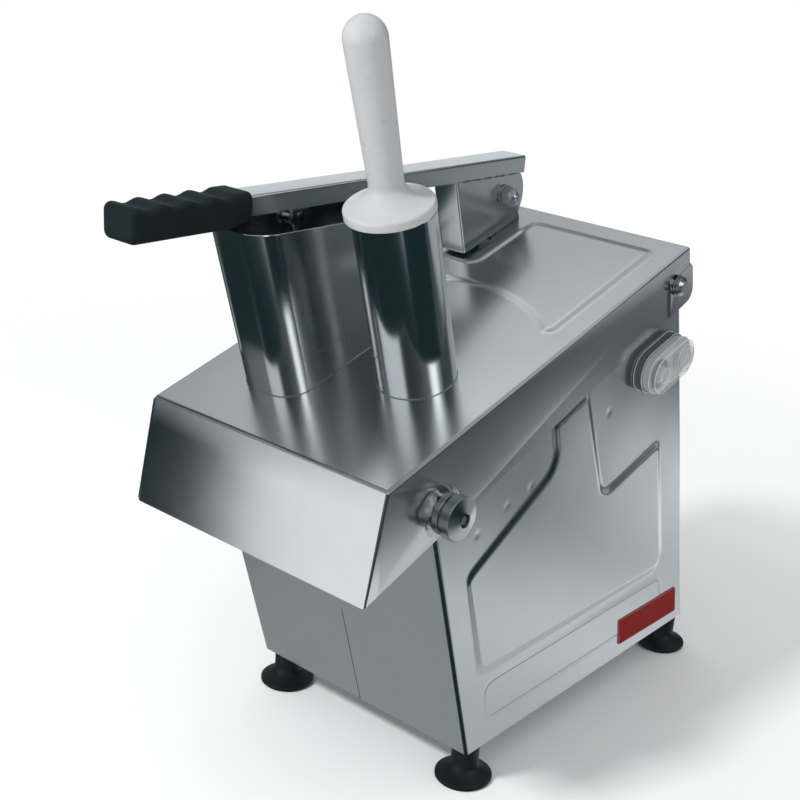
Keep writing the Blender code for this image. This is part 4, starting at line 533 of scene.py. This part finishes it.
def lean_copy(name, dropped):
    """A CAD node's mesh in the lean frame, in mm, without the faces whose corners are all dropped."""
    mesh = bmesh.new()
    mesh.from_mesh(NODES[name].data)
    mesh.transform(Matrix.Scale(1 / MM, 4) @ LEAN_FRAME.inverted() @ NODES[name].matrix_world)
    bmesh.ops.remove_doubles(mesh, verts=mesh.verts, dist=0.01)
    doomed = [face for face in mesh.faces if all(dropped(vert.co) for vert in face.verts)]
    bmesh.ops.delete(mesh, geom=doomed, context="FACES")
    return mesh


def add_grid(mesh, columns, rows, place, kept=None):
    """Adds a grid of faces; place(i, k) gives a point, and kept(point) says which faces stay."""
    points = [[mesh.verts.new(place(i / columns, k / rows)) for k in range(rows + 1)]
              for i in range(columns + 1)]
    for i in range(columns):
        for k in range(rows):
            corners = (points[i][k], points[i + 1][k], points[i + 1][k + 1], points[i][k + 1])
            middle = (corners[0].co + corners[2].co) / 2
            if kept is None or kept(middle):
                mesh.faces.new(corners)


FIELD_FRONT, FIELD_REAR = BODY_FRONT + 23.5, BODY_REAR - 33.6
NECK_FRONT, NECK_REAR, NECK_TOP = 176.6, 224.1, -30.0
FIELD_LOW, BAND_LOW, BAND_TOP = 101.4, 51.4, 95.4


def level_corner(v, height, radius):
    return v, n_at_height(v, height), radius


side_field = depth_in(fillet([
    level_corner(FIELD_FRONT, FIELD_LOW, 16), level_corner(FIELD_REAR, FIELD_LOW, 16),
    (FIELD_REAR, -157, 9), (NECK_REAR + 13, -157, 11), (NECK_REAR - 1, NECK_TOP, 2),
    (NECK_FRONT, NECK_TOP, 2), (NECK_FRONT, -91, 18), (FIELD_FRONT, -119, 12),
]))
side_band = depth_in(fillet([
    level_corner(FIELD_FRONT, BAND_LOW, 14), level_corner(FIELD_REAR, BAND_LOW, 14),
    level_corner(FIELD_REAR, BAND_TOP, 14), level_corner(FIELD_FRONT, BAND_TOP, 14),
]))
FLANGE_RISE, FLANGE_CORNER = 25.0, 10.0
FIELD_RISE, FIELD_SLOPE, FIELD_UNDER_FLANGE = 1.35, 6.5, 0.35
BAND_RISE, BAND_SLOPE = 0.14, 6.0
DIMPLES = ((81, -92), (117, -90), (146, -92), (250, -88))


def flange_edge(v):
    """n of the lower edge of the cover's flange."""
    return -HOOD_DEPTH + FLANGE_RISE * (v + HOOD_REACH) / (COVER_LENGTH - FLANGE_CORNER + HOOD_REACH)


def side_height(v, n):
    """How far a side panel stands out here, in millimetres."""
    height = FIELD_RISE * soft_step(side_field(v, n), FIELD_SLOPE)
    height += BAND_RISE * soft_step(side_band(v, n), BAND_SLOPE)
    height += 0.10 * math.sin(v / 19) * math.sin(n / 23 + 1) * soft_step(n + 190, 120)
    for dimple_v, dimple_n in DIMPLES:
        away = (v - dimple_v) ** 2 + (n - dimple_n) ** 2
        if away < 60:
            height -= 0.22 * math.exp(-away / 5)
    under_flange = soft_step(n - flange_edge(v) + 4.0, 4.0)
    return height - max(height - FIELD_UNDER_FLANGE, 0.0) * under_flange


def body_skin():
    flat = BODY_HALF - 0.3
    mesh = lean_copy("housing", lambda co: abs(co.x) > flat)
    edge = [vert.co.y for vert in mesh.verts if abs(abs(vert.co.x) - BODY_HALF) < 0.02]
    front, rear = min(edge), max(edge)
    high = max(vert.co.z for vert in mesh.verts)
    columns, rows = 180, 150
    heights = {}

    def place(side):
        def at(s, t):
            v = front + (rear - front) * s
            low = n_at_height(v, BODY_CLEARANCE)
            n = low + (high - low) * t
            if (s, t) not in heights:
                rim = min(soft_step(v - front, 6), soft_step(rear - v, 6), soft_step(n - low, 6))
                heights[s, t] = side_height(v, n) * rim
            return (side * (BODY_HALF + heights[s, t]), v, n)
        return at

    for side in (-1, 1):
        add_grid(mesh, columns, rows, place(side))
    return mesh


LEAN_MM = LEAN_FRAME @ Matrix.Scale(MM, 4)
skin = piece("body_sheet", body_skin(), SATIN_BODY, "base", LEAN_MM, smooth=40)
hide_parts("housing")


def cover_field():
    """Outline of the raised field: an arc round the disc, and a notch for the lever at the left."""
    side, rear, radius, corner = COVER_HALF - 18.5, COVER_LENGTH - 19.0, DISC_RADIUS + 21.5, 10.0
    end = math.degrees(math.acos((side - corner) / radius))
    front = arc((0, DISC_CENTRE), radius, 180 - end, end, 40)
    notch_u, notch_v = -27.0, 268.0
    turn = front[-1][1] + corner
    points = front + arc((side - corner, turn), corner, -50, 0, 8)
    points += arc((side - corner, rear - corner), corner, 0, 90, 8)
    points += arc((notch_u + corner, rear - corner), corner, 90, 180, 8)
    points += arc((notch_u - corner, notch_v + corner), corner, 0, -90, 8)
    points += arc((-side + corner, notch_v - corner), corner, 90, 180, 8)
    return points + arc((-side + corner, turn), corner, 180, 230, 8)


COVER_RISE, COVER_SLOPE = 1.15, 7.5


def cover_skin():
    """The cover with a dense top, still open into the hopper and the tube."""
    mesh = lean_copy("cover", lambda co: co.z > -0.02)
    field = depth_in(cover_field())
    moon = depth_in(half_moon(-1.0, 10))
    edge = [vert.co for vert in mesh.verts if abs(vert.co.z) < 0.02 and abs(vert.co.x) > 100]
    half = max(abs(co.x) for co in edge)
    front, rear = min(co.y for co in edge), max(co.y for co in edge)

    def at(s, t):
        u, v = -half + 2 * half * s, front + (rear - front) * t
        height = COVER_RISE * soft_step(field(u, v), COVER_SLOPE)
        inside = soft_step(half - abs(u), 20) * soft_step(min(v - front, rear - v), 20)
        height += 0.06 * math.sin(u / 21 + 1) * math.sin(v / 27) * inside
        return (u, v, height)

    def kept(middle):
        in_tube = math.hypot(middle.x - TUBE_U, middle.y - DISC_CENTRE) < TUBE_RADIUS - 2.5
        return not in_tube and moon(middle.x, middle.y - DISC_CENTRE) < 1.5

    add_grid(mesh, 120, 190, at, kept)
    return mesh


skin = piece("cover_sheet", cover_skin(), SATIN, "cover_unit", LEAN_MM, smooth=40)
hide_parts("cover")


def seam_or_shade_line(name, points, radius, look, body, frame_matrix=LEAN_FRAME, wobble=0.0):
    """A thin bead, a dark joint line or a dark line of painted crease shade along points in millimetres.
    """
    path = [frame_matrix @ (Vector(point) * MM) for point in points]
    piece(name, tube_along(path, radius * MM, 6, wobble=wobble), look, body)


# The hood's two corner creases get dark lines of painted shade.
for side, tag in ((-1, "left"), (1, "right")):
    corner = [(side * (COVER_HALF - 0.1), 1.1 - HOOD_REACH * t, -HOOD_DEPTH * t)
              for t in (0.03, 0.5, 0.985)]
    seam_or_shade_line(f"hood_corner_{tag}", corner, 0.55, DARK_JOINT_AND_CREASE_SHADE, "cover_unit")
seam_or_shade_line("front_joint", [(0, BODY_FRONT, -184), (0, BODY_FRONT, -284)], 0.22, DARK_JOINT_AND_CREASE_SHADE, "base")


# Clamp knob

def knurl(mesh, radius, teeth, depth):
    """Presses fine grooves along the axis into all that lies further out than this radius."""
    for vert in mesh.verts:
        reach = math.hypot(vert.co.y, vert.co.z)
        tooth = round(math.atan2(vert.co.z, vert.co.y) / math.tau * teeth * 3)
        if reach > (radius - 0.1) * MM and tooth % 3 == 0:
            vert.co.y *= 1 - depth / radius
            vert.co.z *= 1 - depth / radius


profile = [(4.4, 132.0), (4.4, 116.6), (14.7, 116.6), (15.0, 116.9), (15.0, 120.9), (14.7, 121.2),
           (11.3, 121.4), (11.3, 123.0), (15.3, 123.0), (16.0, 123.6), (16.0, 130.3), (15.5, 130.9),
           (15.2, 131.0), (11.0, 132.2), (7.0, 133.3), (5.6, 133.8), (5.0, 134.0)]
mesh = turned(profile, 216, closed=True, axis="u")
knurl(mesh, 15.0, 72, 0.35)
knob = piece("knurled_knob", mesh, KNOB, "clamp_knob", lean_at(0, KNOB_V, KNOB_N),
             smooth=30)
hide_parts("clamp_knob")


# Grip

def grip_mesh():
    """Moulded grip: a rounded box with four finger hollows in its top."""
    mesh = bmesh.new()
    steps, ring_steps, corner = 84, 6, 4.2
    first, pitch, depth, round_end, shrink_end = 5, 21.0, 2.5, 5.0, 4.0
    rings = []
    for k in range(steps + 1):
        y = GRIP_LENGTH * k / steps
        near = min(min(y, GRIP_LENGTH - y) / round_end, 1.0)
        shrink = shrink_end * (1 - math.sqrt(1 - (1 - near) ** 2))
        hollow = 0.0
        if first < y < first + 4 * pitch:
            hollow = depth * 0.5 * (1 - math.cos(math.tau * (y - first) / pitch))
        half, low = GRIP_HALF_WIDTH - shrink, GRIP_LOW + shrink
        top = GRIP_TOP + GRIP_CREST - hollow - shrink
        radius = min(corner, (top - low) / 2.2)
        ring = []
        for cx, cz, start in ((half - radius, low + radius, -90), (half - radius, top - radius, 0),
                              (-half + radius, top - radius, 90), (-half + radius, low + radius, 180)):
            ring += [(x, z) for x, z in arc((cx, cz), radius, start, start + 90, ring_steps)]
        rings.append([mesh.verts.new(Vector((x, -GRIP_FRONT + y, z)) * MM) for x, z in ring])
    for one, two in zip(rings, rings[1:]):
        for s in range(len(one)):
            t = (s + 1) % len(one)
            mesh.faces.new((one[s], one[t], two[t], two[s]))
    mesh.faces.new(rings[0])
    mesh.faces.new(rings[-1])
    return mesh


grip = piece("moulded_grip", grip_mesh(), GRIP, "lever", LEVEL_FRAME, smooth=50)
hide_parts("lever_grip")

weld = [(BAR_HALF_WIDTH - 0.3, y, BAR_LOW - 0.2) for y in range(-58, 19, 3)]
seam_or_shade_line("cheek_weld_right", weld, 0.8, WELD, "lever", LEVEL_FRAME, wobble=0.5)
seam_or_shade_line("cheek_weld_left", [(-u, y, z) for u, y, z in weld], 0.8, WELD, "lever", LEVEL_FRAME, wobble=0.5)


# Feet

def foot_mesh():
    stem, bell, rim, radius = 11.2, 14.0, 4.0, 23.0
    profile = [(0, BODY_CLEARANCE), (stem, BODY_CLEARANCE), (stem, bell + 2)]
    for k in range(11):
        t = k / 10
        profile.append((stem + (radius - 1 - stem) * t ** 1.7, bell + (rim - bell) * t ** 0.8))
    profile += arc((radius - 1, rim - 1), 1, 60, 0, 3) + [(radius, 1), (radius - 1, 0), (0, 0)]
    return turned(profile, 72)


for name in "foot_front_left foot_front_right foot_rear_left foot_rear_right".split():
    low = [NODES[name].matrix_world @ Vector(corner) for corner in NODES[name].bound_box]
    middle = sum(low, Vector()) / 8
    foot = piece(f"round_{name}", foot_mesh(), RUBBER, "base",
                 Matrix.Translation((middle.x, middle.y, 0)), smooth=45)
    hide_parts(name)


# Switch: light lines of painted highlight on the clear boot's edges, and a dark ring of painted shade in
# the recess round the start button

def stadium(centre_v, pitch, n, radius, steps=16):
    points = [(centre_v + pitch + x, n + y) for x, y in arc((0, 0), radius, -90, 90, steps)]
    return points + [(centre_v + x, n + y) for x, y in arc((0, 0), radius, 90, 270, steps)]


def switch_line(name, points, radius):
    """A closed line of light opaque plastic, a painted highlight on an edge of the clear boot, through
    (u, v, n) points, in millimetres.
    """
    line = [LEAN_FRAME @ (Vector(point) * MM) for point in points]
    piece(name, tube_along(line, radius * MM, 8, closed=True), BOOT_EDGE_HIGHLIGHT, "base")


# Painted highlights along the edges of the skirt, the gasket, the boot and its crown.
for name, u, radius in (("boot_skirt", 112.0, 17.2), ("gasket_line", 119.0, 17.15),
                        ("boot_edge", 125.0, 16.3), ("boot_crown", 130.0, 14.8)):
    switch_line(name, [(u, v, n) for v, n in stadium(SWITCH_V, SWITCH_PITCH, SWITCH_N, radius)], 0.35)
# Dark ring of painted shade in the recess round the start button.
ring = turned([(6.6, 125.0), (12.2, 125.0), (12.2, 125.6), (6.6, 125.6)], 64, closed=True, axis="u")
piece("start_recess_shade", ring, RECESS_SHADE, "base", lean_at(0, SWITCH_V, SWITCH_N))
domes = (("start_dome_line", SWITCH_V, 6.4), ("stop_dome_line", SWITCH_V + SWITCH_PITCH, 11.5))
for name, v, radius in domes:
    switch_line(name, [(131.0, v + x, SWITCH_N + y) for x, y in arc((0, 0), radius, 0, 352, 44)], 0.3)


# Blank red plate on the body's right side, with its corners as (y, z) in metres

PLATE = ((0.1384, 0.0714), (0.1449, 0.0448), (0.2441, 0.0423), (0.2369, 0.0695))
side_x = ORIGIN.x + BODY_HALF * MM


def plate_mesh(inset, low, high):
    centre = sum((Vector(corner) for corner in PLATE), Vector((0, 0))) / 4
    corners = []
    for corner in PLATE:
        inward = centre - Vector(corner)
        step = Vector((math.copysign(inset, inward.x), math.copysign(inset, inward.y)))
        corners.append(Vector(corner) + step)
    points = fillet([(corner.x, corner.y, 0.0012) for corner in corners], 6)
    mesh = bmesh.new()
    rings = [[mesh.verts.new((side_x + x, y, z)) for y, z in points] for x in (low, high)]
    mesh.faces.new(rings[1])
    for k in range(len(points)):
        j = (k + 1) % len(points)
        mesh.faces.new((rings[0][k], rings[0][j], rings[1][j], rings[1][k]))
    return mesh


piece("plate_rim", plate_mesh(0.0, -0.0002, 0.0010), LABEL_EDGE, "base")
piece("blank_plate", plate_mesh(0.0006, 0.0005, 0.0012), LABEL, "base")


# Camera: the photograph's place, tilt and framing

CAMERA_PLACE = Vector((0.6013, -0.7936, 0.6391))
AZIMUTH, ELEVATION, ROLL = math.radians(37.6148), math.radians(23.7853), math.radians(4.8741)
ahead = Vector((-math.sin(AZIMUTH) * math.cos(ELEVATION), math.cos(AZIMUTH) * math.cos(ELEVATION),
                -math.sin(ELEVATION)))
right = ahead.cross(Vector((0, 0, 1))).normalized()
up = right.cross(ahead)
tilted = right * math.cos(ROLL) + up * math.sin(ROLL)
risen = up * math.cos(ROLL) - right * math.sin(ROLL)
lens = bpy.data.cameras.new("photo_camera")
lens.sensor_width = 36.0
lens.lens = 60.67
lens.shift_x, lens.shift_y = -0.0356, 0.1132
lens.clip_end = 200.0
camera = bpy.data.objects.new("photo_camera", lens)
turn = Matrix((tilted, risen, -ahead)).transposed().to_4x4()
camera.matrix_world = Matrix.Translation(CAMERA_PLACE) @ turn
bpy.context.scene.collection.objects.link(camera)
bpy.context.scene.camera = camera


# Studio

def floor_material(name, colour):
    """Pale matt floor with the object's shadow, which turns into plain white away from the object."""
    tree = Tree(name)
    path = tree.add("LightPath")
    seen = tree.math("MAXIMUM", path.outputs["Is Camera Ray"], path.outputs["Is Transmission Ray"])
    tree.set(base_color=(*colour, 1), roughness=0.9, specular_ior_level=0.0)
    glow = tree.add("Emission")
    tree.put(glow, "Color", (1, 1, 1, 1))
    length = tree.add("VectorMath", operation="LENGTH")
    tree.put(length, 0, tree.place)
    away = tree.ramp(length.outputs["Value"], 0.45, 1.3)
    blend = tree.add("MixShader")
    tree.put(blend, 0, tree.math("MULTIPLY", seen, away))
    tree.links.new(tree.shader.outputs[0], blend.inputs[1])
    tree.links.new(glow.outputs[0], blend.inputs[2])
    tree.links.new(blend.outputs[0], tree.output.inputs["Surface"])
    return tree.material


def stage_mesh(name, verts, faces, look):
    data = bpy.data.meshes.new(name)
    data.from_pydata(verts, [], faces)
    data.materials.append(look)
    made = bpy.data.objects.new(name, data)
    bpy.context.scene.collection.objects.link(made)
    return made


floor = stage_mesh("floor", [(-40, -40, 0), (40, -40, 0), (40, 40, 0), (-40, 40, 0)], [(0, 1, 2, 3)],
                   floor_material("white_floor", (0.96, 0.96, 0.96)))
floor.visible_glossy = False

# The studio that bright metal reflects: soft boxes and pale boards in a dark room.
# Azimuth 0 is +X and 90 is +Y.

def board(azimuths, elevations, edge, brightness, rise=None, lean=0.0):
    """A board. rise is the width of its upper and lower edge, and lean draws its end in, lower down."""
    return azimuths, elevations, edge, brightness, rise or edge, lean


BOARDS = (
    board((228.1, 278), (-16, 24), 4, 1.02, 2, lean=0.28),   # key soft box, in the front of the hood
    board((28, 50), (12, 32), 4, 1.00),             # strip in the crease on the right
    board((341, 362), (13, 49), 6, 2.00, 20),       # strip light on the right
    board((-2, 14), (22, 46), 8, 0.40),
    board((70, 164), (33, 80), 12, 0.50),           # pale ceiling over the back, in the top of the cover
    board((124, 168), (43.9, 60), 8, 0.98),
    board((112, 150), (3, 20), 8, 0.85),            # bright board behind, in the top of the lever
    board((36, 95), (-31.5, -25.6), 2, 0.84, 2),    # pale floor behind on the right, in the body's side
    board((36, 95), (-60, -30.5), 3, 0.52),
    board((15, 45), (-60, -34), 4, 0.52),
    board((60.0, 120), (-24.4, -18.8), 2, 1.05, 1.5),
    board((50, 135), (-13, -2), 3, 0.40),
    board((40, 70), (-30, -6), 6, 0.05),
    board((186, 228), (-75, -44), 4, 0.34),         # floor in front, in the body's front
    board((95, 180), (-80, -26), 10, 0.45),         # floor behind and on the left
    board((150, 186), (0, 30), 14, 0.25),
    board((200, 340), (50, 88), 16, 0.30),
    board((190, 262), (-27, -17), 4, 0.34),         # pale floor and walls that other sides show
    board((262, 338), (-33, -8), 5, 0.42),
    board((205, 335), (26, 52), 8, 0.32),
    board((12, 66), (52, 85), 8, 0.38),
    board((135, 186), (-20, -3), 6, 0.20),
)
ROOM = (0.012, 0.026, 0.030)


def board_weight(value, ends, edge):
    """1 inside the ends and 0 outside them, with a smooth edge of this width."""
    t = min(max((min(value - ends[0], ends[1] - value)) / edge + 0.5, 0.0), 1.0)
    return t * t * (3 - 2 * t)


def studio_light(azimuth, elevation):
    bright = 0.0
    for azimuths, elevations, edge, value, rise, lean in BOARDS:
        shift = lean * max(-7.0 - elevation, 0.0)
        across = max(board_weight(azimuth - shift + turn, azimuths, edge) for turn in (-360, 0, 360))
        bright = max(bright, across * board_weight(elevation, elevations, rise) * value)
    return tuple(dark + bright * tint for dark, tint in zip(ROOM, (0.96, 1.0, 1.02))) + (1.0,)


def studio_dome(radius=30.0, columns=240, rows=120):
    """A sphere round the object, painted by studio_light, that only reflections see."""
    verts, faces, colours = [], [], []
    for row in range(rows + 1):
        e = -90 + 180 * row / rows
        for column in range(columns):
            a = 360 * column / columns
            p, q = math.radians(a), math.radians(e)
            verts.append((radius * math.cos(p) * math.cos(q), radius * math.sin(p) * math.cos(q),
                          radius * math.sin(q)))
            colours.extend(studio_light(a, e))
    for row in range(rows):
        for column in range(columns):
            a, b = row * columns + column, row * columns + (column + 1) % columns
            faces.append((a, b, b + columns, a + columns))
    tree = Tree("studio_light")
    paint = tree.add("Attribute", attribute_name="light")
    glow = tree.add("Emission")
    tree.put(glow, "Color", paint.outputs["Color"])
    tree.links.new(glow.outputs[0], tree.output.inputs["Surface"])
    dome = stage_mesh("studio_dome", verts, faces, tree.material)
    dome.data.attributes.new("light", "FLOAT_COLOR", "POINT").data.foreach_set("color", colours)
    dome.data.shade_smooth()
    dome.visible_camera = dome.visible_diffuse = dome.visible_shadow = dome.visible_transmission = False


studio_dome()


def lamp(name, place, target, size, power):
    light = bpy.data.lights.new(name, "AREA")
    light.shape = "RECTANGLE"
    light.size, light.size_y = size
    light.energy = power
    made = bpy.data.objects.new(name, light)
    made.location = place
    made.rotation_euler = (Vector(target) - Vector(place)).to_track_quat("-Z", "Y").to_euler()
    made.visible_glossy = False
    bpy.context.scene.collection.objects.link(made)


lamp("key", (-0.5, -1.9, 2.1), (0, 0, 0.2), (0.35, 0.35), 46)

world = bpy.data.worlds.new("studio")
bpy.context.scene.world = world
world.use_nodes = True
tree = world.node_tree
ground = tree.nodes["Background"]
ground.inputs["Color"].default_value = (0.70, 0.71, 0.71, 1)
white = tree.nodes.new("ShaderNodeBackground")
white.inputs["Color"].default_value = (1, 1, 1, 1)
path = tree.nodes.new("ShaderNodeLightPath")
seen = path.outputs["Is Camera Ray"]
for ray in ("Is Glossy Ray", "Is Transmission Ray"):
    either = tree.nodes.new("ShaderNodeMath")
    either.operation = "MAXIMUM"
    tree.links.new(seen, either.inputs[0])
    tree.links.new(path.outputs[ray], either.inputs[1])
    seen = either.outputs[0]
blend = tree.nodes.new("ShaderNodeMixShader")
tree.links.new(seen, blend.inputs[0])
tree.links.new(ground.outputs[0], blend.inputs[1])
tree.links.new(white.outputs[0], blend.inputs[2])
tree.links.new(blend.outputs[0], tree.nodes["World Output"].inputs["Surface"])

bpy.context.scene.view_settings.view_transform = "Standard"
